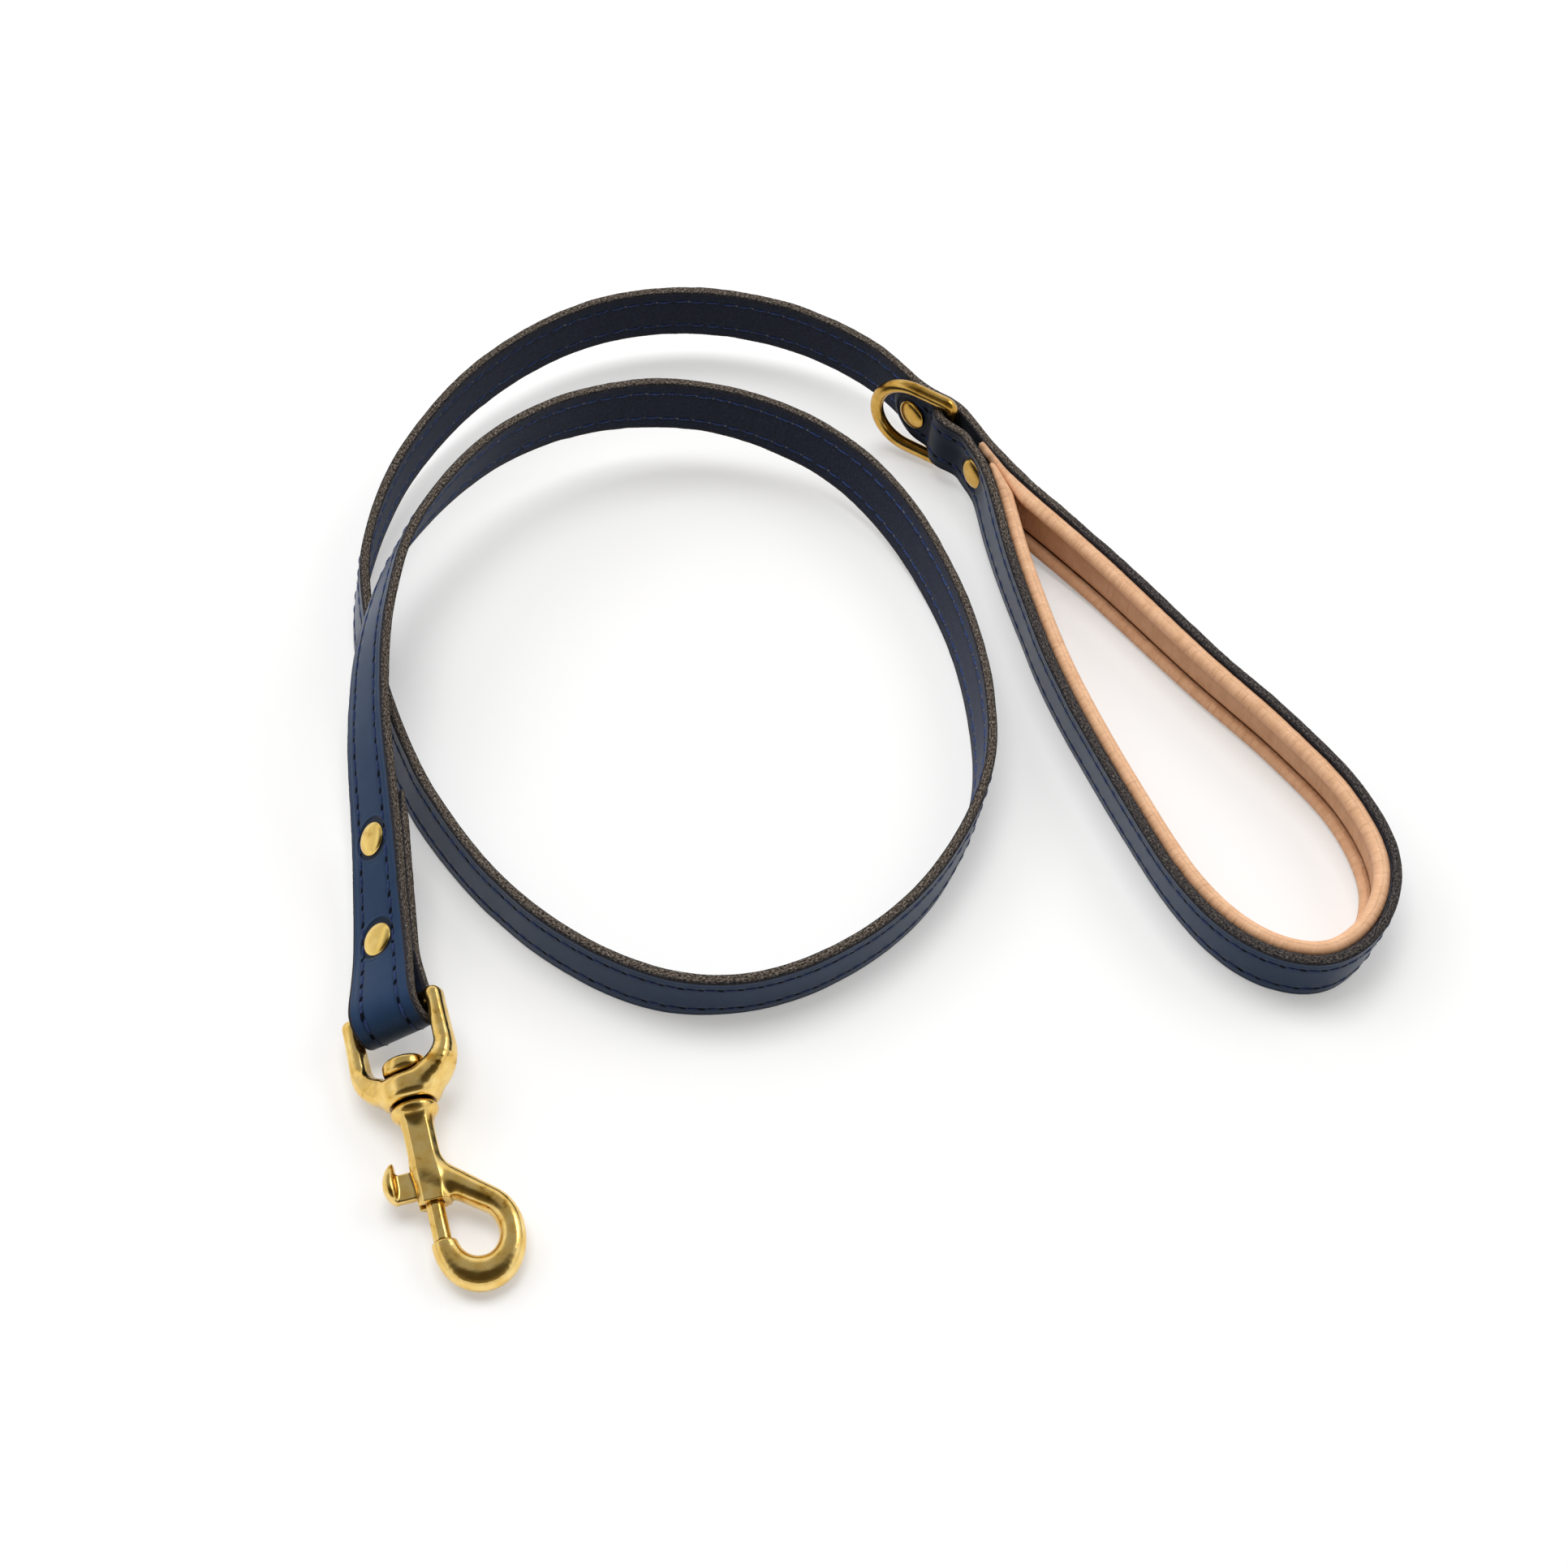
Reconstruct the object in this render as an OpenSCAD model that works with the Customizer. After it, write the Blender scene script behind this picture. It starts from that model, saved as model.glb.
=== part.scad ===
// Leather lead with a padded handle, a D-ring and a swivel trigger hook,
// lying in one loose loop on a flat surface. Millimetres, +Z up.

/* [Strap] */
// Width of the leather strap
strap_w = 19; // [17:0.5:21]
// Thickness of the leather
strap_t = 2.8; // [2.2:0.1:3.2]
// Bevel along the strap's long edges
strap_bevel = 0.5; // [0.2:0.1:0.8]
// Gap between two layers of leather that are riveted together
layer_gap = 0.1; // [0.05:0.05:0.3]

/* [Hook end] */
// Radius of the fold round the swivel eye, to the middle of the leather
fold_r = 5.6; // [5:0.1:7]
// Length of the folded tail past its last rivet
hook_tail = 12; // [8:0.5:16]
// Thickness of the tail's thinned end
skive_t = 1.2; // [0.8:0.1:2]

/* [Handle] */
// Thickness of the lining's backing layer
lining_t = 0.8; // [0.6:0.1:1.2]
// Diameter of the rolls along the lining's edges
roll_d = 3.6; // [2.8:0.1:4.2]
// Thickness of the padded panel between the rolls
panel_t = 2.4; // [1.5:0.1:3]
// Gap between the lining's layers
lining_gap = 0.1; // [0.05:0.05:0.2]
// Distance that the lining stands back from the strap's edges
lining_inset = 0.2; // [0.1:0.1:1]

/* [Rivets] */
// Diameter of a rivet's domed cap
cap_d = 9.4; // [8:0.1:10.5]
// Height of the cap's dome
cap_h = 1.6; // [1:0.1:2.4]
// Depth of the seat that the cap presses into the leather
cap_seat = 0.35; // [0.2:0.05:0.5]
// Clearance round the cap in its seat, on the radius
cap_gap = 0.2; // [0.1:0.05:0.4]
// Diameter of a rivet's post
post_d = 3.2; // [2.4:0.1:4]
// Clearance of the post in the leather, on the radius
post_gap = 0.1; // [0.05:0.05:0.2]
// Thickness of the rivet's back plate
back_h = 1.3; // [1.1:0.1:2]
// Depth that the post is driven into the back plate
post_bite = 0.8; // [0.5:0.1:0.9]

/* [D-ring] */
// Wire diameter of the D-ring
ring_wire = 3.7; // [3:0.1:4.2]
// Gap between the D-ring's legs and the strap's edges
ring_side_gap = 0.6; // [0.4:0.1:1.2]
// Length of the D-ring's straight legs
ring_leg = 12; // [10:0.5:16]
// Gap between the D-ring's bar and the leather on each side
ring_bar_gap = 0.35; // [0.2:0.05:0.6]

/* [Swivel eye] */
// Diameter of the eye's bar, inside the leather fold
bar_d = 4.2; // [3.5:0.1:5]
// Gap between the eye's arms and the strap's edges
eye_side_gap = 0.5; // [0.4:0.1:1.5]
// Width of the eye's arms
arm_w = 4.1; // [3.6:0.1:5]
// Distance from the bar's axis to the underside of the eye's base
eye_reach = 25.5; // [23:0.5:28]
// Thickness of the eye's base
base_h = 7; // [5.5:0.1:8]
// Diameter of the boss in the eye's base
boss_d = 14; // [12:0.1:15]

/* [Swivel] */
// Diameter of the swivel stud
stud_d = 5; // [4:0.1:5.5]
// Clearance of the stud in the eye, on the radius
stud_gap = 0.06; // [0.03:0.01:0.1]
// Diameter of the stud's domed head
head_d = 11.6; // [9:0.1:12.5]
// Height of the stud's head
head_h = 5.4; // [4:0.1:6]
// Gap above and below the eye's base
swivel_gap = 0.3; // [0.2:0.05:0.5]
// Diameter of the collar at the top of the hook
collar_d = 13; // [11:0.1:14]
// Height of the collar
collar_h = 3.4; // [2.5:0.1:4.5]

/* [Hook] */
// Width of the eight-sided shank across its flats
shank_w = 7.8; // [7.2:0.1:9]
// Length of the shank below the collar
shank_len = 24; // [23:0.5:28]
// Length of the opening between the shank and the hook's tip
throat = 10; // [8:0.5:12]
// Distance from the bolt's axis to the middle of the hook's bow
bow_r = 8.6; // [7:0.1:10]
// Depth of the bow below the hook's tip
bow_h = 10.2; // [8:0.1:12]
// Width of the hook's metal at the side of the bow
hook_w = 6.2; // [5:0.1:7]
// Thickness of the hook's metal
hook_t = 7.2; // [5.5:0.1:7.6]

/* [Trigger] */
// Diameter of the sliding bolt
bolt_d = 4.4; // [3.6:0.1:4.8]
// Clearance of the bolt in the shank, on the radius
bolt_gap = 0.06; // [0.03:0.01:0.1]
// Travel of the bolt
bolt_travel = 9; // [7:0.5:9.5]
// Length of the bolt that is guided in the shank
bolt_guide = 10; // [9:0.5:10.5]
// Thickness of the arm between the bolt and the thumb pad
lever_t = 2.4; // [1.8:0.1:3]
// Width of that arm along the shank
lever_h = 7.5; // [6:0.1:8]
// Clearance on each side of that arm in its slot
lever_gap = 0.2; // [0.1:0.05:0.4]
// Distance from the bolt's axis to the middle of the thumb pad
pad_out = 9.6; // [9:0.1:11]
// Diameter of the thumb pad
pad_d = 10; // [8:0.1:12]
// Thickness of the thumb pad at its middle
pad_t = 2.8; // [2:0.1:3.5]

/* [Hidden] */
$fn = 64;

navy = "#2b3a58";
tan = "#dca47c";
brass = "#b8913f";
old_brass = "#a07c34";

// Depth that the lying edge is pressed flat on the surface
rest_cut = 0.4;
// Gap between the hook's bow and the surface
floor_gap = 0.3;
// A solid that is cut away reaches this far past the face it opens
reach = 3;

// The strap's route from the hook to the splice, as seen from above:
// x, y, height of the lower edge, and outward lean of the upper edge in degrees
lead_points = [
    [-122.5, -66, 7, -52], [-126, -37, 10, -44], [-131, 2, 16, -37], [-130, 33, 21, -31],
    [-122, 62, 22, -22], [-101, 92, 21, -13], [-72, 111, 17, -5], [-40, 115, 13, 0],
    [-8, 104, 8, 6], [14, 83, 3, 12], [30, 49, 0, 11], [37, 13, 0, 11],
    [35, -18, 0, 8], [20, -49, 0, 5], [-3, -70, 0, 6], [-30, -80, 0, 6],
    [-58, -76, 0, -1], [-88, -56, 0, -4], [-113, -25, 0, -11], [-129, 9, 0, -14],
    [-138, 41, 0, -16], [-139, 69, 1, -9], [-130, 101, 4, -8], [-110, 130, 8, -7],
    [-82, 151, 10, -6], [-51, 159, 10, -4], [-19, 154, 9, -3], [7, 140, 7, -1]
];
// The splice: first rivet, the D-ring's bar, second rivet
splice_points = [[23.5, 121.5, 6, 2], [33.5, 113, 5.5, 4], [41.5, 98, 4.5, 7]];
// The handle, from the splice round its tip and back
handle_points = [
    [50, 88, 3, 8], [75, 61, 0, 5], [100, 28, 0, 2], [121, 2, 0, 0],
    [136, -21, 0, 1], [142, -44, 0, 6], [136, -63, 0, 8], [122, -74, 0, 6],
    [104, -70, 0, 5], [88, -53, 0, 6], [73, -21, 0, 5], [58, 18, 0, 3],
    [48.5, 53, 0.5, 0], [43.5, 76, 2, -4]
];

// Places along the route, counted in route points from the fold
u_hook2 = 1;
u_hook1 = 2;
u_splice1 = 1 + len(lead_points);
u_bar = u_splice1 + 1;
u_splice2 = u_splice1 + 2;
u_cut = u_splice2 + 0.45;
u_last = u_splice2 + len(handle_points) + 2;

// Layers at a rivet, at the D-ring's bar and where the handle opens
layer_step = strap_t + layer_gap;
bar_step = strap_t + ring_wire + 2 * ring_bar_gap;
open_step = layer_step + 1.8;

// Eye, stud, hook and trigger along the swivel axis, counted from the eye's bar
base_top = eye_reach - base_h;
arm_x = strap_w / 2 + eye_side_gap + arm_w / 2;
collar_top = eye_reach + swivel_gap;
shank_top = collar_top + collar_h;
shank_end = shank_top + shank_len;
tip_gap = 0.3;
tip_z = shank_end + throat + tip_gap;
wall = 1.5;
bolt_top = shank_end - bolt_guide;
bore_top = bolt_top - bolt_travel - wall;
stud_end = bore_top - wall;
lever_top = bolt_top + 0.4;
pad_z = lever_top + 1.2;

// Where the hook lies: the axis of the eye's bar, the turn and dip of the
// swivel axis, and the roll of the eye about it
hook_turn = 15.5;
hook_dip = 6;
eye_roll = 24;
hook_at = [-117.7, -87, (tip_z + bow_h) * sin(hook_dip) + hook_t / 2 * cos(hook_dip) + floor_gap];
axis_dir = [sin(hook_turn) * cos(hook_dip), -cos(hook_turn) * cos(hook_dip), -sin(hook_dip)];
side_dir = [cos(hook_turn), sin(hook_turn), 0];
lift_dir = cross(axis_dir, side_dir);
bar_dir = side_dir * cos(eye_roll) + lift_dir * sin(eye_roll);
face_dir = lift_dir * cos(eye_roll) - side_dir * sin(eye_roll);

function unit(v) = v / norm(v);
function mix(a, b, t) = a + (b - a) * t;
function blend(t) = let (c = max(0, min(1, t))) c * c * (3 - 2 * c);

// One smooth curve through the points: x, y, z of the strap's middle, and lean
function lift(p) = [p.x, p.y, p.z - rest_cut + strap_w / 2 * cos(p[3]), p[3]];
fold_top = concat(hook_at + fold_r * face_dir, [eye_roll - 90]);
main_path = concat([fold_top], [for (p = concat(lead_points, splice_points, handle_points)) lift(p)]);

function curve(q, t) = 0.5 * (2 * q[1] + (q[2] - q[0]) * t
    + (2 * q[0] - 5 * q[1] + 4 * q[2] - q[3]) * t * t + (3 * q[1] - q[0] - 3 * q[2] + q[3]) * t * t * t);
function slope(q, t) = 0.5 * (q[2] - q[0]) + (2 * q[0] - 5 * q[1] + 4 * q[2] - q[3]) * t
    + 1.5 * (3 * q[1] - q[0] - 3 * q[2] + q[3]) * t * t;

// The point before the first makes the strap leave the fold square to the bar
fold_run = 20;
before = concat([for (k = [0:2]) main_path[1][k] + axis_dir[k] * fold_run], [fold_top[3]]);
function after(list) = 2 * list[len(list) - 1] - list[len(list) - 2];
function path_point(list, i) = i < 0 ? before : i < len(list) ? list[i] : after(list);
function span_of(list, u) = min(floor(u), len(list) - 2);
function around(list, u) = let (i = span_of(list, u)) [for (k = [-1:2]) path_point(list, i + k)];
function point(list, u) = curve(around(list, u), u - span_of(list, u));
function tangent(list, u) = let (s = slope(around(list, u), u - span_of(list, u))) unit([s.x, s.y, s.z]);

// A station is the middle of the strap with its width and face directions
function station(list, u) = let (
    p = point(list, u), t = tangent(list, u),
    out = unit([-t.y, t.x, 0]), up = cross(t, out)
) [[p.x, p.y, p.z], up * cos(p[3]) + out * sin(p[3]), out * cos(p[3]) - up * sin(p[3])];

// The folded tail under the hook end, and the handle's tail over the D-ring's bar
fold_blend = 0.85;
hump_top = 0.12;
hump_blend = 0.52;
probe = 0.03;
function hook_step(u) = mix(2 * fold_r, layer_step, blend(u / fold_blend));
function ring_step(u) = mix(bar_step, layer_step, blend((abs(u - u_bar) - hump_top) / hump_blend));
function under(u, step) = let (s = station(main_path, u)) s[0] - s[2] * step;
function back_station(u, here, ahead) = let (
    t = unit(ahead - here), w = station(main_path, u)[1], wide = unit(w - t * (w * t))
) [here, wide, cross(wide, t)];
function hook_back(u) = back_station(u, under(u, hook_step(u)), under(u - probe, hook_step(u - probe)));
function ring_back(u) = back_station(u, under(u, ring_step(u)), under(u - probe, ring_step(u - probe)));

// The whole route, with the way in to the handle's tail
u_open = u_splice2 + 0.45;
function tail_point(u, step) = concat(under(u, step), [-point(main_path, u)[3]]);
path = concat(main_path, [tail_point(u_open, open_step), tail_point(u_splice2, layer_step)]);

// Cross-sections: positions across the width and out of the face
function strap_section(w, t) = let (a = w / 2, b = t / 2, c = min(strap_bevel, t / 3)) [
    [c - a, b], [-a, b - c], [-a, c - b], [c - a, -b], [a - c, -b], [a, c - b], [a, b - c], [a - c, b]
];
function strip_section(w, t) = [[-w, t], [-w, -t], [w, -t], [w, t]] / 2;
function roll_section(d) = [for (k = [22.5:45:337.5]) [cos(k), sin(k)] * d / 2];
function panel_section(w, t) = let (a = w / 2, b = a * 0.6, c = t * 0.6) [
    [-a, 0], [-a, -c], [-b, -t], [b, -t], [a, -c], [a, 0]
];
function placed(s, section, across = 0, out = 0) =
    [for (q = section) s[0] + s[1] * (q[0] + across) + s[2] * (q[1] + out)];

// The skin over a row of like rings. Twisted faces of two layers are split along
// the same diagonal, also where the rings of one layer run back along the route
module skin(rings, back_from = 0, back_to = 0) {
    n = len(rings[0]);
    last = (len(rings) - 1) * n;
    sides = [for (i = [0:len(rings) - 2], k = [0:n - 1]) let (
        a = i * n + k, b = i * n + (k + 1) % n, back = i >= back_from && i < back_to
    ) each (k < n / 2) == back ? [[a, b, a + n], [b, b + n, a + n]] : [[a, b, b + n], [a, b + n, a + n]]];
    ends = [for (k = [1:n - 2]) each [[0, k + 1, k], [last, last + k, last + k + 1]]];
    polyhedron([for (r = rings) each r], concat(sides, ends));
}

// Everything below the surface that the lead lies on
module below_floor() {
    side = 800;
    depth = 40;
    translate([-side / 2, -side / 2, -depth]) cube([side, side, depth]);
}

// Rivets 1 and 2 are at the hook with the caps on the outer face, 3 and 4 at
// the splice with the caps on the tail
rivet_u = [u_hook2, u_hook1, u_splice1, u_splice2];
function at_hook(k) = k <= 2;
function rivet_station(k) = station(main_path, rivet_u[k - 1]);
function rivet_dir(k) = rivet_station(k)[2] * (at_hook(k) ? 1 : -1);
function cap_z(k) = strap_t / 2 - cap_seat + (at_hook(k) ? 0 : layer_step);
function back_z(k) = cap_seat - strap_t / 2 - (at_hook(k) ? layer_step : 0);

module at_rivet(k) {
    d = rivet_dir(k);
    translate(rivet_station(k)[0]) rotate([0, acos(d.z), atan2(d.y, d.x)]) children();
}

module rivet_room(k) {
    seat_d = cap_d + 2 * cap_gap;
    at_rivet(k) {
        translate([0, 0, back_z(k) - reach])
            cylinder(d = post_d + 2 * post_gap, h = cap_z(k) - back_z(k) + 2 * reach);
        translate([0, 0, cap_z(k)]) cylinder(d = seat_d, h = reach);
        translate([0, 0, back_z(k) - reach]) cylinder(d = seat_d, h = reach);
    }
}

module rivet_cap(k) {
    r = cap_d / 2;
    rim = 0.25;
    color(old_brass) at_rivet(k) {
        translate([0, 0, cap_z(k)]) rotate_extrude() polygon(concat(
            [[0, 0], [r - rim, 0], [r, rim]],
            [for (a = [15:15:75]) [r * cos(a), rim + (cap_h - rim) * sin(a)]],
            [[0, cap_h]]));
        translate([0, 0, back_z(k) - post_bite])
            cylinder(d = post_d, h = cap_z(k) - back_z(k) + post_bite + cap_h / 2);
    }
}

module rivet_back(k) {
    press_gap = 0.02;
    color(old_brass) at_rivet(k) translate([0, 0, back_z(k)]) mirror([0, 0, 1]) difference() {
        cylinder(d1 = cap_d, d2 = cap_d * 0.8, h = back_h);
        translate([0, 0, -reach]) cylinder(d = post_d + 2 * press_gap, h = post_bite + press_gap + reach);
    }
}

// The strap from its tail under the hook end to just past the splice
u_hook_tail = u_hook1 + hook_tail / norm(main_path[u_hook1 + 1] - main_path[u_hook1]);
function skive(u) = mix(strap_t, skive_t, blend((u - u_hook1) / (u_hook_tail - u_hook1) * 1.5 - 0.5));

// The rings of both layers stand at the same places, so that they stay apart
hook_us = [for (k = [0:9]) mix(u_hook_tail, fold_blend / 7, k / 9)];
u_ring_tail = u_splice1 - 0.32;
splice_us = [for (k = [0:18]) mix(u_splice2, u_ring_tail, k / 18)];
function reversed(list) = [for (k = [len(list) - 1:-1:0]) list[k]];

module lead_strap() {
    whole = strap_section(strap_w, strap_t);
    tail_rings = [for (u = hook_us) placed(hook_back(u), strap_section(strap_w, skive(u)))];
    fold_rings = [for (a = [-75:30:75]) let (out = face_dir * sin(a) + axis_dir * cos(a))
        placed([hook_at + out * fold_r, bar_dir, out], whole)];
    main_us = concat([0], reversed(hook_us), [for (u = [u_hook1 + 1:0.5:u_ring_tail]) u],
        reversed(splice_us), [for (k = [1:3]) mix(u_splice2, u_cut, k / 3)]);
    main_rings = [for (u = main_us) placed(station(path, u), whole)];
    color(navy) difference() {
        skin(concat(tail_rings, fold_rings, main_rings), 0, len(tail_rings));
        for (k = [1:4]) rivet_room(k);
        below_floor();
    }
}

// The strap round the handle and back to its round-ended tail inside the D-ring
tail_round = 0.3;
function tail_w(u) = let (q = max(0, 1 - (u - u_ring_tail) / tail_round)) strap_w * sqrt(1 - 0.9 * q * q);

module handle_strap() {
    whole = strap_section(strap_w, strap_t);
    loop_us = concat([u_cut], lining_us, [for (k = [0:3]) u_last - 1 + k / 3]);
    loop_rings = [for (u = loop_us) placed(station(path, u), whole)];
    tail_rings = [for (k = [1:len(splice_us) - 1])
        placed(ring_back(splice_us[k]), strap_section(tail_w(splice_us[k]), strap_t))];
    color(navy) difference() {
        skin(concat(loop_rings, tail_rings), len(loop_rings) - 1, len(loop_rings) + len(tail_rings));
        for (k = [3:4]) rivet_room(k);
        below_floor();
    }
}

// Handle lining: a backing, two edge rolls and a padded panel, all of them
// thinned where the two sides of the handle close up
lining_from = u_splice2 + 0.6;
lining_to = u_last - 1.1;
lining_us = concat([lining_from], [for (k = [3 * (u_splice2 + 1):3 * (u_last - 1) - 1]) k / 3], [lining_to]);
throat_span = 3;
near_side = [for (u = [u_last - throat_span:0.25:u_last]) station(path, u)[0]];
far_side = [for (u = [u_splice2:0.25:u_splice2 + throat_span]) station(path, u)[0]];
function room(u) = let (c = station(path, u)[0])
    min([for (p = u < (lining_from + lining_to) / 2 ? near_side : far_side) norm(p - c)]) / 2;
function swell(u) = min(1, (room(u) - strap_t / 2 - 4 * lining_gap) / (lining_t + roll_d));
roll_x = strap_w / 2 - roll_d / 2 - lining_inset;
panel_w = 2 * roll_x - roll_d - 2 * lining_gap;
backing_w = strap_w - 2 * strap_bevel;

module lining_backing() {
    color(tan) difference() {
        skin([for (u = lining_us) let (k = swell(u))
            placed(station(path, u), strip_section(backing_w, lining_t * k),
                0, -strap_t / 2 - lining_gap - lining_t / 2 * k)]);
        below_floor();
    }
}

module lining_roll(side) {
    color(tan) difference() {
        skin([for (u = lining_us) let (k = swell(u))
            placed(station(path, u), roll_section(roll_d * k),
                side * roll_x, -strap_t / 2 - 2 * lining_gap - (lining_t + roll_d / 2) * k)]);
        below_floor();
    }
}

module lining_panel() {
    color(tan) skin([for (u = lining_us) let (k = swell(u))
        placed(station(path, u), panel_section(panel_w, panel_t * k),
            0, -strap_t / 2 - 2 * lining_gap - lining_t * k)]);
}

// D-ring: its bar lies between the layers of the splice, and its bow has
// swung a little away from the strap
ring_half = strap_w / 2 + ring_side_gap + ring_wire / 2;
ring_bend = ring_wire / 2 + 0.4;
ring_swing = 23;

// Turns the X axis to a and the Y axis to b, which are square to each other
module turned(a, b) {
    rotate([atan2(b.z, cross(a, b).z), -asin(a.z), atan2(a.y, a.x)]) children();
}

module wire_arc(r, from, sweep) {
    rotate([0, 0, from]) rotate_extrude(angle = sweep) translate([r, 0]) circle(d = ring_wire);
}

module ring_wire_shape() {
    x = ring_half - ring_bend;
    translate([-x, 0, 0]) rotate([0, 90, 0]) cylinder(d = ring_wire, h = 2 * x);
    for (side = [-1, 1]) {
        translate([side * x, ring_bend, 0]) wire_arc(ring_bend, side > 0 ? -90 : 180, 90);
        translate([side * ring_half, ring_bend, 0]) rotate([-90, 0, 0])
            cylinder(d = ring_wire, h = ring_leg - ring_bend);
    }
    translate([0, ring_leg, 0]) wire_arc(ring_half, 0, 180);
}

module d_ring() {
    s = station(main_path, u_bar);
    color(old_brass) translate(s[0] - s[2] * bar_step / 2)
        turned(s[1], -tangent(main_path, u_bar)) rotate([ring_swing, 0, 0]) ring_wire_shape();
}

// Local frame of the swivel: Z along its axis from the eye's bar to the hook
module at_swivel(roll) {
    translate(hook_at) rotate([90 + hook_dip, 0, hook_turn]) rotate([0, 0, roll]) children();
}

// Swivel eye: a stirrup of two arms that thicken into a bored base, with round
// ends at the bar. Steps are degrees round the base, and millimetres along the arms
base_mid = base_top + base_h / 2;
base_rise = arm_x * 0.8;
arm_len = base_mid - base_rise;
arm_end = arm_len + bar_d / 2;
function stirrup_point(a) = a < 0 ? [-arm_x, arm_len + a] : a > 180 ? [arm_x, arm_len + 180 - a]
    : [-arm_x * cos(a), arm_len + base_rise * sin(a)];
function stirrup_dir(a) = a < 0 ? [0, 1] : a > 180 ? [0, -1] : unit([arm_x * sin(a), base_rise * cos(a)]);

module stirrup() {
    cap_len = arm_w * 0.55;
    down = [0, 0.2 * cap_len, 0.55 * cap_len, cap_len, arm_end - arm_len / 2];
    steps = concat([for (s = down) s - arm_end], [for (a = [0:12:180]) a],
        [for (k = [4:-1:0]) 180 + arm_end - down[k]]);
    skin([for (a = steps) let (
        p = stirrup_point(a), d = stirrup_dir(a),
        open = 1 - min(1, min(a + arm_end, 180 + arm_end - a) / cap_len),
        tip = 0.3 + 0.7 * sqrt(1 - open * open),
        mid = blend(1 - abs(a - 90) / 90),
        wide = mix(arm_w, base_h, mid) / 2 * tip, deep = mix(arm_w, boss_d * 0.72, mid) / 2 * tip
    ) [for (k = [15:30:345]) [p[0] - d[1] * wide * cos(k), deep * sin(k), p[1] + d[0] * wide * cos(k)]]]);
}

module swivel_eye() {
    color(brass) at_swivel(eye_roll) difference() {
        union() {
            stirrup();
            translate([-arm_x, 0, 0]) rotate([0, 90, 0]) cylinder(d = bar_d, h = 2 * arm_x);
            translate([0, 0, base_top]) cylinder(d1 = boss_d - 1, d2 = boss_d, h = base_h);
        }
        translate([0, 0, base_top - reach]) cylinder(d = stud_d + 2 * stud_gap, h = base_h + 2 * reach);
        translate([0, 0, base_top - head_h]) cylinder(d = head_d + 2 * swivel_gap, h = head_h);
    }
}

module swivel_stud() {
    r = head_d / 2;
    rim = 0.6;
    side_h = head_h * 0.45;
    head_z = base_top - swivel_gap;
    color(brass) at_swivel(eye_roll) {
        translate([0, 0, head_z]) mirror([0, 0, 1]) rotate_extrude() polygon(concat(
            [[0, 0], [r - rim, 0], [r, rim], [r, side_h]],
            [for (a = [15:15:75]) [r * (0.25 + 0.75 * cos(a)), side_h + (head_h - side_h) * sin(a)]],
            [[0, head_h]]));
        translate([0, 0, head_z - head_h / 2]) cylinder(d = stud_d, h = stud_end - head_z + head_h / 2);
    }
}

// Hook: collar, eight-sided shank and a bow that ends in a tip under the bolt
bow_from = -50;
join_z = shank_end - 0.38 * shank_len;
function bow_point(a) = [bow_r + bow_r * cos(a), tip_z + bow_h * sin(a)];
function bow_dir(a) = unit([-bow_r * sin(a), bow_h * cos(a)]);
function bow_half(a) = hook_w / 2 * (1 + 0.32 * blend(1 - abs(a - 100) / 90)) * (a < 180 ? 1 : 0.9);

module bow() {
    lead_in = [for (t = [0:0.25:0.75])
        [mix([0, join_z], bow_point(bow_from), t), bow_dir(bow_from), mix(shank_w / 2, bow_half(bow_from), t)]];
    round_part = [for (a = [bow_from:10:180]) [bow_point(a), bow_dir(a), bow_half(a)]];
    skin([for (s = concat(lead_in, round_part)) [for (k = [15:30:345])
        [s[0][0] + s[1][1] * s[2] * cos(k), -hook_t / 2 * sin(k), s[0][1] - s[1][0] * s[2] * cos(k)]]]);
}

module hook_body() {
    press_gap = 0.02;
    neck = collar_h + 2.6;
    r = collar_d / 2;
    rim = 0.8;
    slot_w = lever_t + 2 * lever_gap;
    color(brass) at_swivel(0) difference() {
        union() {
            translate([0, 0, collar_top]) rotate_extrude() polygon([
                [0, 0], [r - rim, 0], [r, rim], [r, collar_h - 1.5 * rim], [shank_w / 2, neck], [0, neck]
            ]);
            translate([0, 0, shank_top]) rotate([0, 0, 22.5])
                cylinder(d = shank_w / cos(22.5), h = shank_len, $fn = 8);
            bow();
        }
        translate([0, 0, collar_top - reach])
            cylinder(d = stud_d + 2 * press_gap, h = stud_end - collar_top + press_gap + reach);
        translate([0, 0, bore_top]) cylinder(d = bolt_d + 2 * bolt_gap, h = shank_end + reach - bore_top);
        translate([-shank_w, -slot_w / 2, bore_top]) cube([shank_w, slot_w, shank_end + reach - bore_top]);
    }
}

// Trigger: the bolt, and the arm with the thumb pad that draws it back
module trigger_bolt() {
    r = bolt_d / 2;
    edge = 0.3;
    len = bolt_guide + throat;
    color(brass) at_swivel(0) translate([0, 0, bolt_top]) rotate_extrude() polygon([
        [0, 0], [r - edge, 0], [r, edge], [r, len - edge], [r - edge, len], [0, len]
    ]);
}

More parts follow.
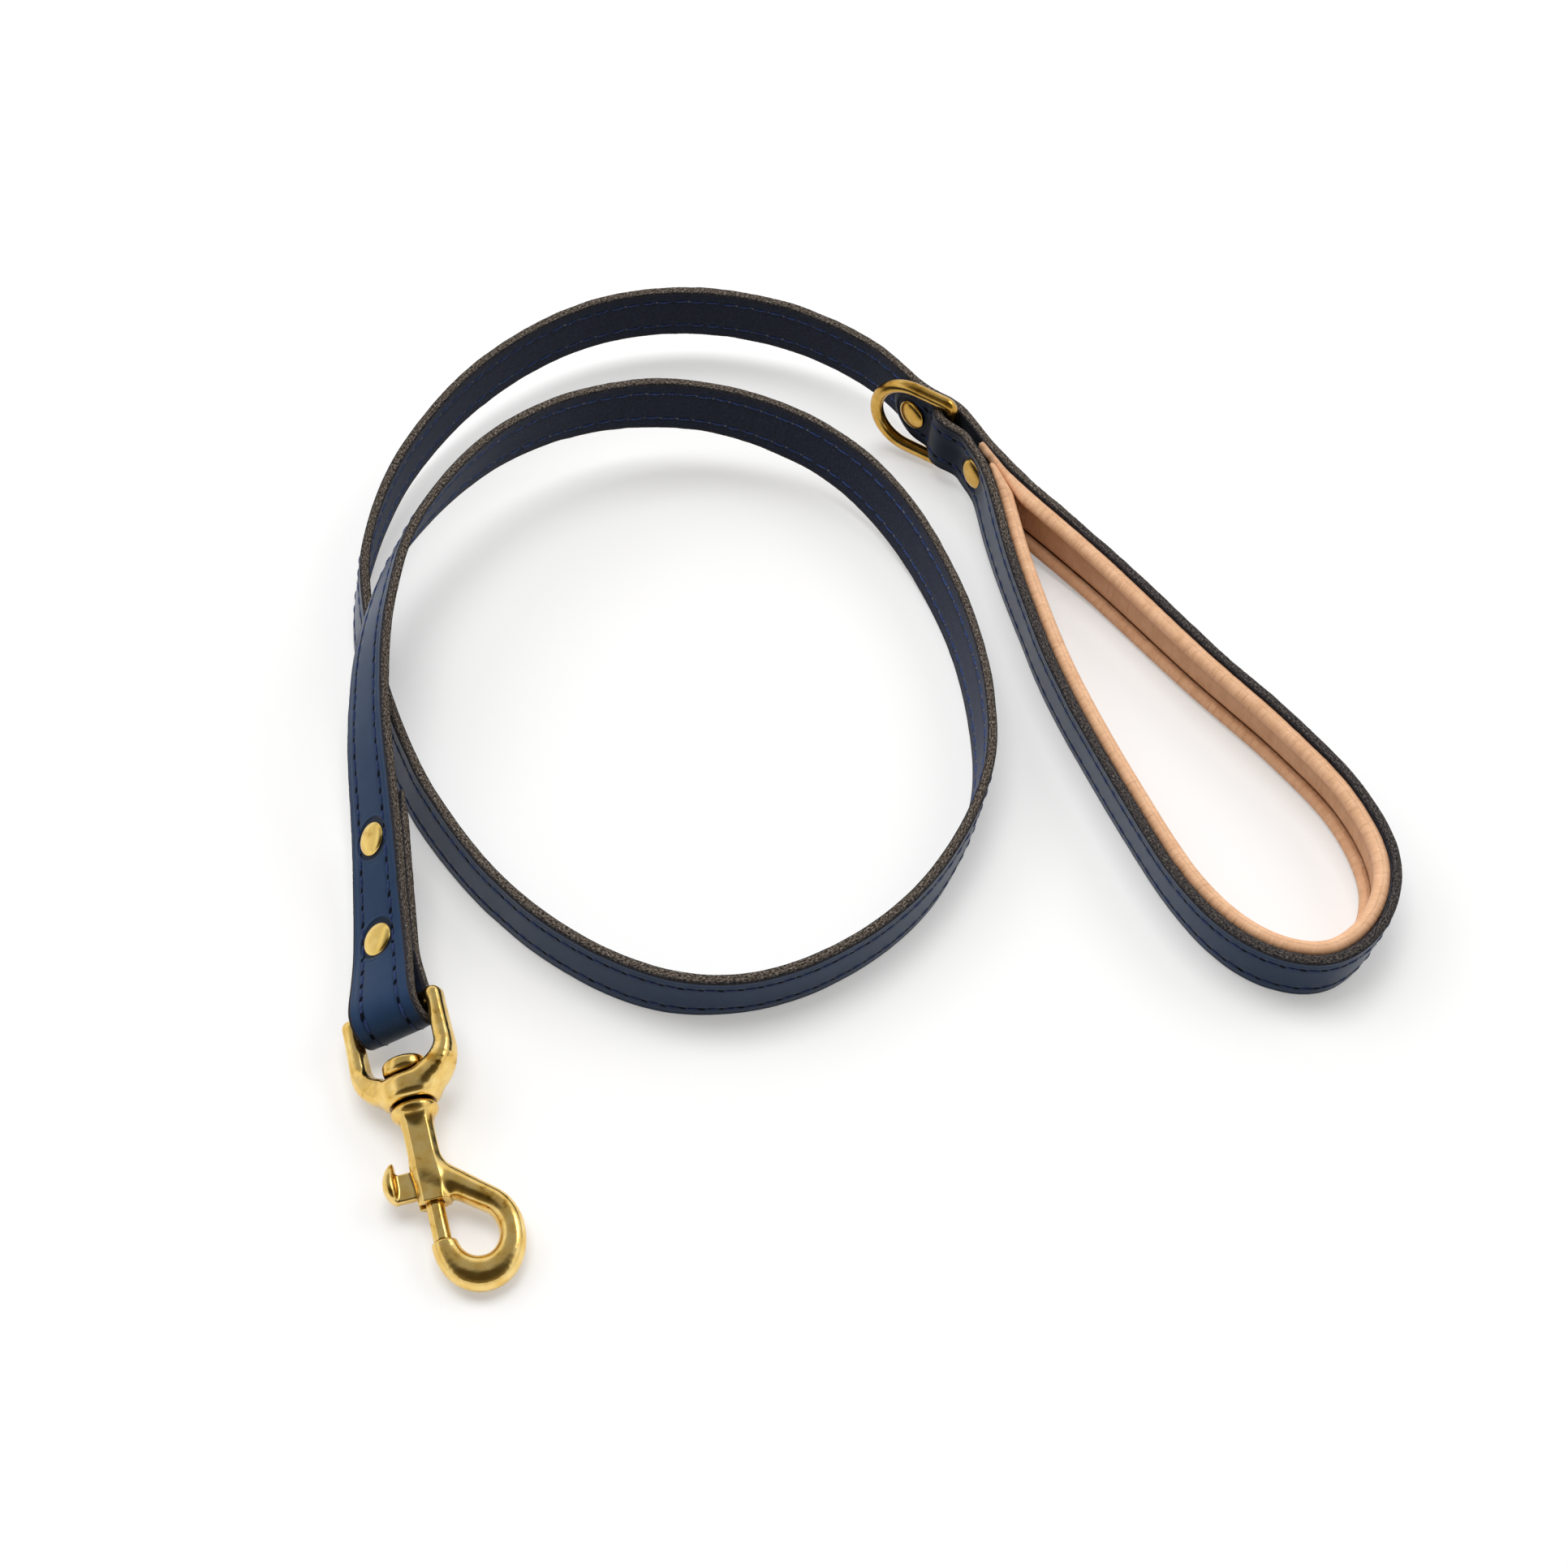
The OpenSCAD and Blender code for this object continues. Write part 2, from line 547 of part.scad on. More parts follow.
module trigger_thumb() {
    ball = (pad_d * pad_d + pad_t * pad_t) / (4 * pad_t);
    half_angle = asin(pad_d / 2 / ball);
    press_gap = 0.02;
    color(brass) at_swivel(0) difference() {
        union() {
            translate([-pad_out, -lever_t / 2, lever_top]) cube([pad_out, lever_t, lever_h]);
            translate([-pad_out, 0, pad_z]) rotate([0, 90, 0]) rotate_extrude() polygon(concat(
                [for (k = [0:8]) let (a = half_angle * k / 8) [ball * sin(a), pad_t / 2 - ball * (1 - cos(a))]],
                [for (k = [7:-1:0]) let (a = half_angle * k / 8) [ball * sin(a), ball * (1 - cos(a)) - pad_t / 2]]));
        }
        translate([0, 0, bolt_top - reach]) cylinder(d = bolt_d + 2 * press_gap, h = bolt_guide + 2 * reach);
    }
}

lead_strap();
handle_strap();
lining_backing();
lining_panel();
lining_roll(1);  // lining_roll_upper
lining_roll(-1);  // lining_roll_lower
rivet_cap(1);  // rivet_cap_1
rivet_cap(2);  // rivet_cap_2
rivet_cap(3);  // rivet_cap_3
rivet_cap(4);  // rivet_cap_4
rivet_back(1);  // rivet_back_1
rivet_back(2);  // rivet_back_2
rivet_back(3);  // rivet_back_3
rivet_back(4);  // rivet_back_4
d_ring();
swivel_eye();
swivel_stud();
hook_body();
trigger_bolt();
trigger_thumb();
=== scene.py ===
import math

import bpy
import numpy as np
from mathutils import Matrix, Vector


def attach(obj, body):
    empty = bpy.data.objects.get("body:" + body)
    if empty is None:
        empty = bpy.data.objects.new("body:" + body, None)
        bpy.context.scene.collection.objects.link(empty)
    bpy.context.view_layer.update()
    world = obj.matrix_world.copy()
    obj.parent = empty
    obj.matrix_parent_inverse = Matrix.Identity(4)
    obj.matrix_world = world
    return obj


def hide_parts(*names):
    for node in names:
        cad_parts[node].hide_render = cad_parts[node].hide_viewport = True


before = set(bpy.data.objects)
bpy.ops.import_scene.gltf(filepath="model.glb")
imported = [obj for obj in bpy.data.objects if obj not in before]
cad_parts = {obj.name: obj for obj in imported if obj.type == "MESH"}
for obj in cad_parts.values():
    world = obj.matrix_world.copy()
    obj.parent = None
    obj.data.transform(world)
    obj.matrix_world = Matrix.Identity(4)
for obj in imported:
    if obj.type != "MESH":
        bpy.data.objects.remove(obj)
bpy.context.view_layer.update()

MM = 0.001
scene = bpy.context.scene
rng = np.random.default_rng(11)


# Camera: the photo's view, from the front and above
AIM = Vector((-0.018, -0.007, 0.0))
ELEVATION = math.radians(54.5)
DISTANCE = 0.7079
SENSOR, LENS, NEAREST = 36, 58.7, 0.01


def add_camera():
    data = bpy.data.cameras.new("camera")
    data.sensor_width = SENSOR
    data.lens = LENS
    data.clip_start = NEAREST
    cam = bpy.data.objects.new("camera", data)
    scene.collection.objects.link(cam)
    cam.location = AIM + DISTANCE * Vector((0, -math.cos(ELEVATION), math.sin(ELEVATION)))
    cam.rotation_euler = (math.pi / 2 - ELEVATION, 0, 0)
    scene.camera = cam


add_camera()


# Small helpers; lengths are millimetres until a mesh is made
def unit(v):
    return v / np.linalg.norm(v, axis=-1, keepdims=True)


def smooth(t):
    c = np.clip(t, 0, 1)
    return c * c * (3 - 2 * c)


def mix(a, b, t):
    return a + (b - a) * t


def bump(x, width):
    return np.exp(-(x / width) ** 2)


def between(s, start, rise, stop, fall):
    """0 outside start to stop and 1 inside, after a smooth rise and before a smooth fall."""
    return smooth((s - start) / rise) * smooth((stop - s) / fall)


def circle(count):
    """Even angles once round."""
    return np.linspace(0, 2 * math.pi, count + 1)[:-1]


def spline(a, b, c, d, t):
    """A smooth curve from b to c, where a and d are the knots before and after."""
    return 0.5 * (2 * b + (c - a) * t + (2 * a - 5 * b + 4 * c - d) * t ** 2
                  + (3 * b - a - 3 * c + d) * t ** 3)


def blur(values, sigma):
    """Gaussian blur of rows, with the ends carried on in line."""
    n = int(4 * sigma) + 1
    kernel = bump(np.arange(-n, n + 1), sigma * math.sqrt(2))
    kernel /= kernel.sum()
    before = 2 * values[:1] - values[n:0:-1]
    after = 2 * values[-1:] - values[-2:-n - 2:-1]
    long = np.concatenate([before, values, after])
    return np.stack([np.convolve(column, kernel, "valid") for column in long.T], -1)


# Places along the strap are STEP apart
STEP = 0.625


def wander(n, period):
    """Smooth random values of about unit size at n places."""
    knots = rng.normal(size=int(n * STEP / period) + 5)
    x = np.arange(n) * STEP / period + 1
    i = np.floor(x).astype(int)
    return spline(*(knots[i + k] for k in (-1, 0, 1, 2)), x - i)


# The strap's route, as in the CAD part: x, y, height of the lower edge, lean
STRAP_W, STRAP_T, FOLD_R, REST_CUT = 19.0, 2.8, 5.6, 0.4
HALF_W, HALF_T = STRAP_W / 2, STRAP_T / 2
LEAD = [
    [-122.5, -66, 7, -52], [-126, -37, 10, -44], [-131, 2, 16, -37], [-130, 33, 21, -31],
    [-122, 62, 22, -22], [-101, 92, 21, -13], [-72, 111, 17, -5], [-40, 115, 13, 0],
    [-8, 104, 8, 6], [14, 83, 3, 12], [30, 49, 0, 11], [37, 13, 0, 11],
    [35, -18, 0, 8], [20, -49, 0, 5], [-3, -70, 0, 6], [-30, -80, 0, 6],
    [-58, -76, 0, -1], [-88, -56, 0, -4], [-113, -25, 0, -11], [-129, 9, 0, -14],
    [-138, 41, 0, -16], [-139, 69, 1, -9], [-130, 101, 4, -8], [-110, 130, 8, -7],
    [-82, 151, 10, -6], [-51, 159, 10, -4], [-19, 154, 9, -3], [7, 140, 7, -1],
]
SPLICE = [[23.5, 121.5, 6, 2], [33.5, 113, 5.5, 4], [41.5, 98, 4.5, 7]]
HANDLE = [
    [50, 88, 3, 8], [75, 61, 0, 5], [100, 28, 0, 2], [121, 2, 0, 0],
    [136, -21, 0, 1], [142, -44, 0, 6], [136, -63, 0, 8], [122, -74, 0, 6],
    [104, -70, 0, 5], [88, -53, 0, 6], [73, -21, 0, 5], [58, 18, 0, 3],
    [48.5, 53, 0.5, 0], [43.5, 76, 2, -4],
]

# Route points at the rivets and the D-ring's bar, and the steps between layers there
U_HOOK2, U_HOOK1, U_SPLICE1, U_BAR, U_SPLICE2 = 1, 2, 29, 30, 31
LAYER_STEP, BAR_STEP, OPEN_STEP = 2.9, 7.2, 4.7

# The hook lies on its own axis: turn, dip, and the roll of the eye about it
TURN, DIP, ROLL = (math.radians(a) for a in (15.5, 6, 24))
HOOK_LONG, HOOK_LOW, HOOK_CLEAR = 73.7, 3.6, 0.3
HOOK_Z = HOOK_LONG * math.sin(DIP) + HOOK_LOW * math.cos(DIP) + HOOK_CLEAR
HOOK_AT = np.array([-117.7, -87, HOOK_Z])
AXIS = np.array([math.sin(TURN) * math.cos(DIP), -math.cos(TURN) * math.cos(DIP), -math.sin(DIP)])
SIDE = np.array([math.cos(TURN), math.sin(TURN), 0])
LIFT = np.cross(AXIS, SIDE)
BAR = SIDE * math.cos(ROLL) + LIFT * math.sin(ROLL)
FACE = LIFT * math.cos(ROLL) - SIDE * math.sin(ROLL)


def lifted(points):
    """Route points with the height of the strap's middle, not of its lower edge."""
    p = np.array(points, float)
    p[:, 2] += HALF_W * np.cos(np.radians(p[:, 3])) - REST_CUT
    return p


LEAD_IN = 20
FOLD_TOP = np.append(HOOK_AT + FOLD_R * FACE, math.degrees(ROLL) - 90)
MAIN = np.vstack([FOLD_TOP, lifted(LEAD + SPLICE + HANDLE)])
BEFORE = np.append(MAIN[1, :3] + AXIS * LEAD_IN, FOLD_TOP[3])


def stations(path, us):
    """Middle, width and face directions, and lean of the strap at places along a path."""
    us = np.atleast_1d(np.asarray(us, float))
    full = np.vstack([BEFORE, path, 2 * path[-1] - path[-2]])
    i = np.minimum(np.floor(us).astype(int), len(path) - 2)
    t = (us - i)[:, None]
    a, b, c, d = (full[i + k] for k in range(4))
    p = spline(a, b, c, d, t)
    slope = 0.5 * ((c - a) + 2 * (2 * a - 5 * b + 4 * c - d) * t + 3 * (3 * b - a - 3 * c + d) * t ** 2)
    tangent = unit(slope[:, :3])
    out = unit(np.stack([-tangent[:, 1], tangent[:, 0], 0 * tangent[:, 0]], 1))
    up = np.cross(tangent, out)
    lean = np.radians(p[:, 3:])
    wide = up * np.cos(lean) + out * np.sin(lean)
    face = out * np.cos(lean) - up * np.sin(lean)
    return p[:, :3], wide, face, p[:, 3]


def under(us, step):
    """Middle, width direction and lean of a layer that lies a step behind the main one."""
    middle, wide, face, lean = stations(MAIN, us)
    return middle - face * np.reshape(step, (-1, 1)), wide, lean


def tail_point(u, step):
    middle, _, lean = under(u, step)
    return np.append(middle[0], -lean[0])


U_OPEN = U_SPLICE2 + 0.45
ROUTE = np.vstack([MAIN, tail_point(U_OPEN, OPEN_STEP), tail_point(U_SPLICE2, LAYER_STEP)])
U_LAST = len(ROUTE) - 1

# How quickly the layers close up behind the hook's fold, and on both sides of the D-ring's bar
HOOK_CLOSE, BAR_HOLD, BAR_CLOSE = 0.85, 0.12, 0.52


def hook_step(u):
    return mix(2 * FOLD_R, LAYER_STEP, smooth(u / HOOK_CLOSE))


def ring_step(u):
    return mix(BAR_STEP, LAYER_STEP, smooth((np.abs(u - U_BAR) - BAR_HOLD) / BAR_CLOSE))


# One strap from the tail under the hook end to the tail inside the D-ring
HOOK_TAIL = 12
U_HOOK_TAIL = U_HOOK1 + HOOK_TAIL / np.linalg.norm(MAIN[U_HOOK1 + 1] - MAIN[U_HOOK1])
U_RING_TAIL = U_SPLICE1 - 0.355
U_FOLD, FOLD_HALF_TURN = 0.12, 75
FOLD_MARK, RING_MARK = -0.06, 1000
TAIL_POINTS, FOLD_POINTS, MAIN_POINTS = 200, 60, 9000
MIDDLE_BLUR, WIDTH_BLUR = 1.2, 3


def strap_line():
    """Distance, middle, width direction and mark at each place along the strap.

    A mark is the route's u, except in the tails: there it is minus u under the hook,
    and RING_MARK less u inside the D-ring.
    """
    hook_us = np.linspace(U_HOOK_TAIL, U_FOLD, TAIL_POINTS)
    hook_tail, hook_wide, _ = under(hook_us, hook_step(hook_us))
    turn = np.radians(np.linspace(-FOLD_HALF_TURN, FOLD_HALF_TURN, FOLD_POINTS))[:, None]
    fold = HOOK_AT + FOLD_R * (FACE * np.sin(turn) + AXIS * np.cos(turn))
    us = np.linspace(0, U_LAST, MAIN_POINTS)
    main, wide, _, _ = stations(ROUTE, us)
    ring_us = np.linspace(U_SPLICE2, U_RING_TAIL, TAIL_POINTS)[1:]
    ring_tail, ring_wide, _ = under(ring_us, ring_step(ring_us))
    middle = np.vstack([hook_tail, fold, main, ring_tail])
    across = np.vstack([hook_wide, np.repeat(BAR[None], len(fold), 0), wide, ring_wide])
    mark = np.concatenate([-hook_us, np.full(len(fold), FOLD_MARK), us, RING_MARK - ring_us])
    s = np.concatenate([[0], np.cumsum(np.linalg.norm(np.diff(middle, axis=0), axis=1))])
    even = np.arange(0, s[-1], STEP)
    middle, across = (np.stack([np.interp(even, s, c) for c in v.T], 1) for v in (middle, across))
    middle = blur(middle, MIDDLE_BLUR / STEP)
    across = blur(across, WIDTH_BLUR / STEP)
    return even, middle, across, np.interp(even, s, mark)


S, MID, ACROSS, MARK = strap_line()
TANGENT = unit(np.gradient(MID, axis=0))
ACROSS = unit(ACROSS - TANGENT * (ACROSS * TANGENT).sum(1, keepdims=True))
OUT = np.cross(ACROSS, TANGENT)
LENGTH = S[-1]


def mark_s(mark):
    """Distance along the strap at a mark."""
    return S[np.argmin(np.abs(MARK - mark))]


# Where the rivets go through the strap's layers: h1 and h2 are those of the splice
RIVET_MARKS = {
    "hook2": U_HOOK2, "hook1": U_HOOK1, "hook2_back": -U_HOOK2, "hook1_back": -U_HOOK1,
    "h1_back": U_SPLICE1, "h2_back": U_SPLICE2, "h2": U_LAST, "h1": RING_MARK - U_SPLICE1,
}
RIVET_S = {key: mark_s(mark) for key, mark in RIVET_MARKS.items()}
CAPPED = [RIVET_S[key] for key in ("hook2", "hook1", "h1", "h2")]

# Beside the throat's rivet the layers' upper edges curl away from each other
CURL_TAIL, CURL_MAIN = 2.2, 1.0
CURL_LONG, CURL_SHORT = 13, 11
CURL_FROM, CURL_SPAN, CURL_POWER = 1.5, 8, 1.3


def curl(s, across):
    """How far a point is moved out by the curl of its edge."""
    tail, main = s - RIVET_S["h2"], s - RIVET_S["h2_back"]
    lift = (CURL_TAIL * bump(tail, np.where(tail > 0, CURL_LONG, CURL_SHORT))
            + CURL_MAIN * bump(main, np.where(main < 0, CURL_LONG, CURL_SHORT)))
    return lift * np.clip((across - CURL_FROM) / CURL_SPAN, 0, 2) ** CURL_POWER


def place(s, across, out):
    """Points in the part's frame from places along, across and out of the strap."""
    s, across, out = np.broadcast_arrays(np.asarray(s, float), across, out)
    i = np.clip(s / STEP, 0, len(S) - 1.001)
    k = np.floor(i).astype(int)
    t = (i - k)[..., None]
    mid, wide, face = (mix(v[k], v[k + 1], t) for v in (MID, ACROSS, OUT))
    return mid + wide * across[..., None] + face * (out + curl(s, across))[..., None]


# Mesh makers
def mesh(name, points, faces, materials, body, slot, zones=None, attributes=None):
    """A smooth mesh on a body; attributes are values at its points, read by materials."""
    data = bpy.data.meshes.new(name)
    points = np.asarray(points).reshape(-1, 3) * MM
    data.from_pydata(points.tolist(), [], [list(map(int, f)) for f in faces])
    for m in materials:
        data.materials.append(m)
    if zones is not None:
        data.polygons.foreach_set("material_index", np.asarray(zones, np.int32))
    data.polygons.foreach_set("use_smooth", np.ones(len(data.polygons), bool))
    for key, values in (attributes or {}).items():
        layer = data.attributes.new(key, "FLOAT", "POINT")
        layer.data.foreach_set("value", np.asarray(values, np.float32).ravel())
    data.update()
    obj = bpy.data.objects.new(name, data)
    scene.collection.objects.link(obj)
    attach(obj, body)
    return obj


def grid_faces(rows, cols):
    """Quads between rings one after another; each ring has cols points."""
    r, c = np.meshgrid(np.arange(rows - 1), np.arange(cols), indexing="ij")
    a, b = r * cols + c, r * cols + (c + 1) % cols
    return np.stack([a, a + cols, b + cols, b], -1).reshape(-1, 4)


def solid_faces(rows, cols):
    """The quads between rings, and a cap over the first and the last ring."""
    last = rows * cols - 1
    return grid_faces(rows, cols).tolist() + [list(range(cols)), list(range(last, last - cols, -1))]


def turned_over(faces):
    return [f[::-1] for f in faces]


def strip_values(dark, s, around):
    """Values at a strip's points: how dark they are, and their places along and around it."""
    return {"dark": dark, "along": np.repeat(s, len(around)), "around": np.tile(around, len(s))}


# Materials
def material(name, roughness=0.5, metallic=0.0, specular=0.5, sheen=(0.0, 0.5)):
    """A material, its node tree and its shader; sheen is a weight and a roughness."""
    m = bpy.data.materials.new(name)
    m.use_nodes = True
    shader = m.node_tree.nodes["Principled BSDF"]
    values = {"Roughness": roughness, "Metallic": metallic, "Specular IOR Level": specular,
              "Sheen Weight": sheen[0], "Sheen Roughness": sheen[1]}
    for key, value in values.items():
        shader.inputs[key].default_value = value
    return m, m.node_tree, shader


def node(tree, kind, *inputs, **settings):
    """A shader node: inputs, in order or by name, are set or linked, and other names are its settings."""
    n = tree.nodes.new("ShaderNode" + kind)
    for key, value in [*settings.items(), *enumerate(inputs)]:
        if isinstance(key, str) and key not in n.inputs:
            setattr(n, key, value)
        elif isinstance(value, bpy.types.NodeSocket):
            tree.links.new(value, n.inputs[key])
        else:
            n.inputs[key].default_value = value
    return n


def ramp(tree, factor, stops):
    n = node(tree, "ValToRGB", Fac=factor)
    e = n.color_ramp.elements
    while len(e) < len(stops):
        e.new(0.5)
    for element, (at, colour) in zip(e, stops):
        element.position = at
        element.color = (*colour, 1)
    return n.outputs["Color"]


def greys(*stops):
    return [(at, (level, level, level)) for at, level in stops]


def noise(tree, scale, detail, stretch=None):
    where = node(tree, "TexCoord").outputs["Object"]
    if stretch:
        where = node(tree, "Mapping", Vector=where, Scale=stretch, Rotation=(0, 0, 0.6)).outputs["Vector"]
    return node(tree, "TexNoise", Vector=where, Scale=scale, Detail=detail).outputs["Fac"]


def surface_noise(tree, along, around, detail):
    """Noise on a strip's own run: along and around are waves a millimetre."""
    where = node(tree, "CombineXYZ")
    for axis, key, scale in (("X", "along", along), ("Y", "around", around)):
        a = node(tree, "Attribute", attribute_name=key)
        m = node(tree, "Math", a.outputs["Fac"], scale, operation="MULTIPLY")
        tree.links.new(m.outputs["Value"], where.inputs[axis])
    return node(tree, "TexNoise", Vector=where.outputs["Vector"], Scale=1.0, Detail=detail).outputs["Fac"]


def add_bump(tree, shader, height, strength, distance):
    """Bump from a height, on top of any bump that the shader has already."""
    n = node(tree, "Bump", Height=height, Strength=strength, Distance=distance)
    normal = shader.inputs["Normal"]
    if normal.is_linked:
        tree.links.new(normal.links[0].from_socket, n.inputs["Normal"])
    tree.links.new(n.outputs["Normal"], normal)


def paint(tree, shader, factor, stops, dark=None):
    """Base colour from a ramp, going over to the dark colour where the mesh's value "dark" is 1."""
    colour = ramp(tree, factor, stops)
    if dark:
        # In some places the mesh's value "dark" is painted shade, in others the leather's dye, its pressed
        # rings or patina
        darkening = node(tree, "Attribute", attribute_name="dark").outputs["Fac"]
        m = node(tree, "Mix", data_type="RGBA", Factor=darkening, A=colour, B=(*dark, 1))
        colour = m.outputs["Result"]
    tree.links.new(colour, shader.inputs["Base Color"])


def grain_leather():
    m, tree, shader = material("navy_grain", roughness=0.35, specular=0.09, sheen=(0.24, 0.3))
    stops = [(0.3, (0.0155, 0.0365, 0.084)), (0.7, (0.020, 0.044, 0.098))]
    # The dark colour is painted shade on the tail, along the stitch rows and on the seats in the splice;
    # round the other seats it is the pressed leather's own colour
    paint(tree, shader, noise(tree, 160, 4), stops, dark=(0.004, 0.006, 0.013))
    add_bump(tree, shader, noise(tree, 2600, 2), strength=0.16, distance=0.0002)
    return m


def flesh_leather():
    m, tree, shader = material("navy_flesh", roughness=0.8, specular=0.2, sheen=(0.25, 0.35))
    shader.inputs["Sheen Tint"].default_value = (0.76, 0.83, 1.0, 1)
    stops = [(0.35, (0.009, 0.012, 0.026)), (0.6, (0.018, 0.023, 0.044)), (0.75, (0.032, 0.039, 0.066))]
    # The dark colour is painted shade, along the back rows and between the splice's layers
    paint(tree, shader, noise(tree, 1500, 4), stops, dark=(0.003, 0.004, 0.008))
    add_bump(tree, shader, noise(tree, 2200, 4), strength=0.5, distance=0.0003)
    return m


def raw_edge():
    m, tree, shader = material("raw_edge", roughness=0.9, specular=0.15)
    stops = [(0.36, (0.009, 0.008, 0.008)), (0.46, (0.06, 0.048, 0.038)),
             (0.57, (0.145, 0.119, 0.097)), (0.72, (0.33, 0.295, 0.26))]
    # The dark colour is the dye of the grain side's bevel and of the hand loop's edges, and painted shade at
    # the flesh side's bevel
    paint(tree, shader, surface_noise(tree, 1.3, 2.6, 5), stops, dark=(0.014, 0.017, 0.028))
    add_bump(tree, shader, surface_noise(tree, 1.6, 2.2, 5), strength=0.8, distance=0.0006)
    return m


def thread(name, low, high):
    m, tree, shader = material(name, roughness=0.6, specular=0.3)
    paint(tree, shader, noise(tree, 1800, 3), [(0.35, low), (0.7, high)])
    return m


def needle_hole_shade():
    # Painted shade: the dark inside the needle holes
    m, tree, shader = material("needle_hole_shade", roughness=0.9, specular=0.05)
    paint(tree, shader, noise(tree, 900, 2), [(0.3, (0.002, 0.003, 0.006)), (0.7, (0.006, 0.008, 0.014))])
    return m


GRAIN, FLESH, EDGE, HOLE = grain_leather(), flesh_leather(), raw_edge(), needle_hole_shade()
BLUE_THREAD = thread("blue_thread", (0.007, 0.014, 0.058), (0.028, 0.055, 0.175))
BACK_THREAD = thread("back_thread", (0.013, 0.030, 0.12), (0.05, 0.10, 0.30))
KNOT_THREAD = thread("knot_thread", (0.06, 0.075, 0.12), (0.20, 0.22, 0.27))


# The strap's faces: two stitched rows, a pressed crease beside each edge, and rivet seats
ROW, PITCH = 5.25, 5.0
RIPPLE = 0.05 * wander(len(S), 9)
ROUNDING = 0.18
CREASE, CREASE_W, CREASE_DEEP = 7.45, 0.3, 0.06
ROW_W, ROW_DEEP = 0.6, 0.09
BACK_ROW_W, BACK_ROW_DEEP = 0.7, 0.14
SEAT_R, SEAT_RIM, SEAT_SLOPE, SEAT_DEEP = 7.0, 0.2, 0.8, 0.30


def plain_grain(s, w):
    """Height of the grain face over the strap's middle, before it is pressed."""
    return HALF_T - ROUNDING * (np.abs(w) / HALF_W) ** 4 + np.interp(s, S, RIPPLE)


def grain_height(s, w):
    """Height of the grain face with its pressed lines and rivet seats."""
    a = np.abs(w)
    r = np.min([np.hypot(s - at, w) for at in RIVET_S.values()], axis=0)
    lines = CREASE_DEEP * bump(a - CREASE, CREASE_W) + ROW_DEEP * bump(a - ROW, ROW_W)
    return plain_grain(s, w) - lines - SEAT_DEEP * smooth((SEAT_R - SEAT_RIM - r) / SEAT_SLOPE)


def flesh_height(w):
    return -HALF_T + BACK_ROW_DEEP * bump(np.abs(w) - ROW, BACK_ROW_W)


def hollow(s):
    """Where the flesh side is shut away between the layers of the splice, and gets painted shade."""
    main = between(s, RIVET_S["h1_back"] - 4, 4, RIVET_S["h2_back"] + 10, 5)
    return np.maximum(main, smooth((s - RIVET_S["h2"] + 8) / 5))


# Half sections of the strap: places across it, and the bevelled raw edge, dyed dark at the grain side, with
# painted shade at the flesh side for the shadowed gap between layers
GRAIN_W = np.array([8.5, 8.1, 7.75, 7.45, 7.15, 6.7, 6.1, 5.65, 5.25, 4.85, 4.4, 3.6, 2.7, 1.8, 0.9])
FLESH_W = np.array([8.6, 7.9, 7.0, 6.2, 5.65, 5.25, 4.85, 4.2, 3, 1.5])
EDGE_PROFILE = np.array([
    [8.8, 1.25], [9.1, 1.14], [9.34, 0.95], [9.48, 0.68], [9.56, 0.30],
    [9.58, -0.1], [9.56, -0.55], [9.50, -0.98], [9.34, -1.32], [9.0, -1.48],
])
EDGE_DARK = np.array([0.9, 0.75, 0.5, 0.2, 0, 0, 0, 0, 0.8, 0.8])

# The tail under the hook is thinned, and the D-ring's tail has a round end set a little up
TAIL_THIN, THIN_RUN = 0.45, 9
END_R, END_CUT = 10.5, 0.96
END_UP, UP_BEFORE, UP_RUN = 0.3, 8, 12

# Edges wander and are rough, but stay calm at the hook's fold and at the D-ring's tail
CALM, CALM_RUN, FOLD_CALM, TAIL_CALM = 0.9, 6, 14, 4
SLOW_SWAY, SLOW_PERIOD, QUICK_SWAY, QUICK_PERIOD = 0.10, 14, 0.05, 3
ROUGHNESS, ROUGH_H = 0.09, 1.1

# The hand loop's edges are dyed darker. Painted shade darkens the leather along the rows, in the splice and
# on the tail inside the D-ring
HANDLE_DYE, DYE_RUN = 0.45, 20
ROW_DARK, BACK_ROW_DARK, SPLICE_DARK, TAIL_DARK = 0.65, 0.35, 0.9, 0.7


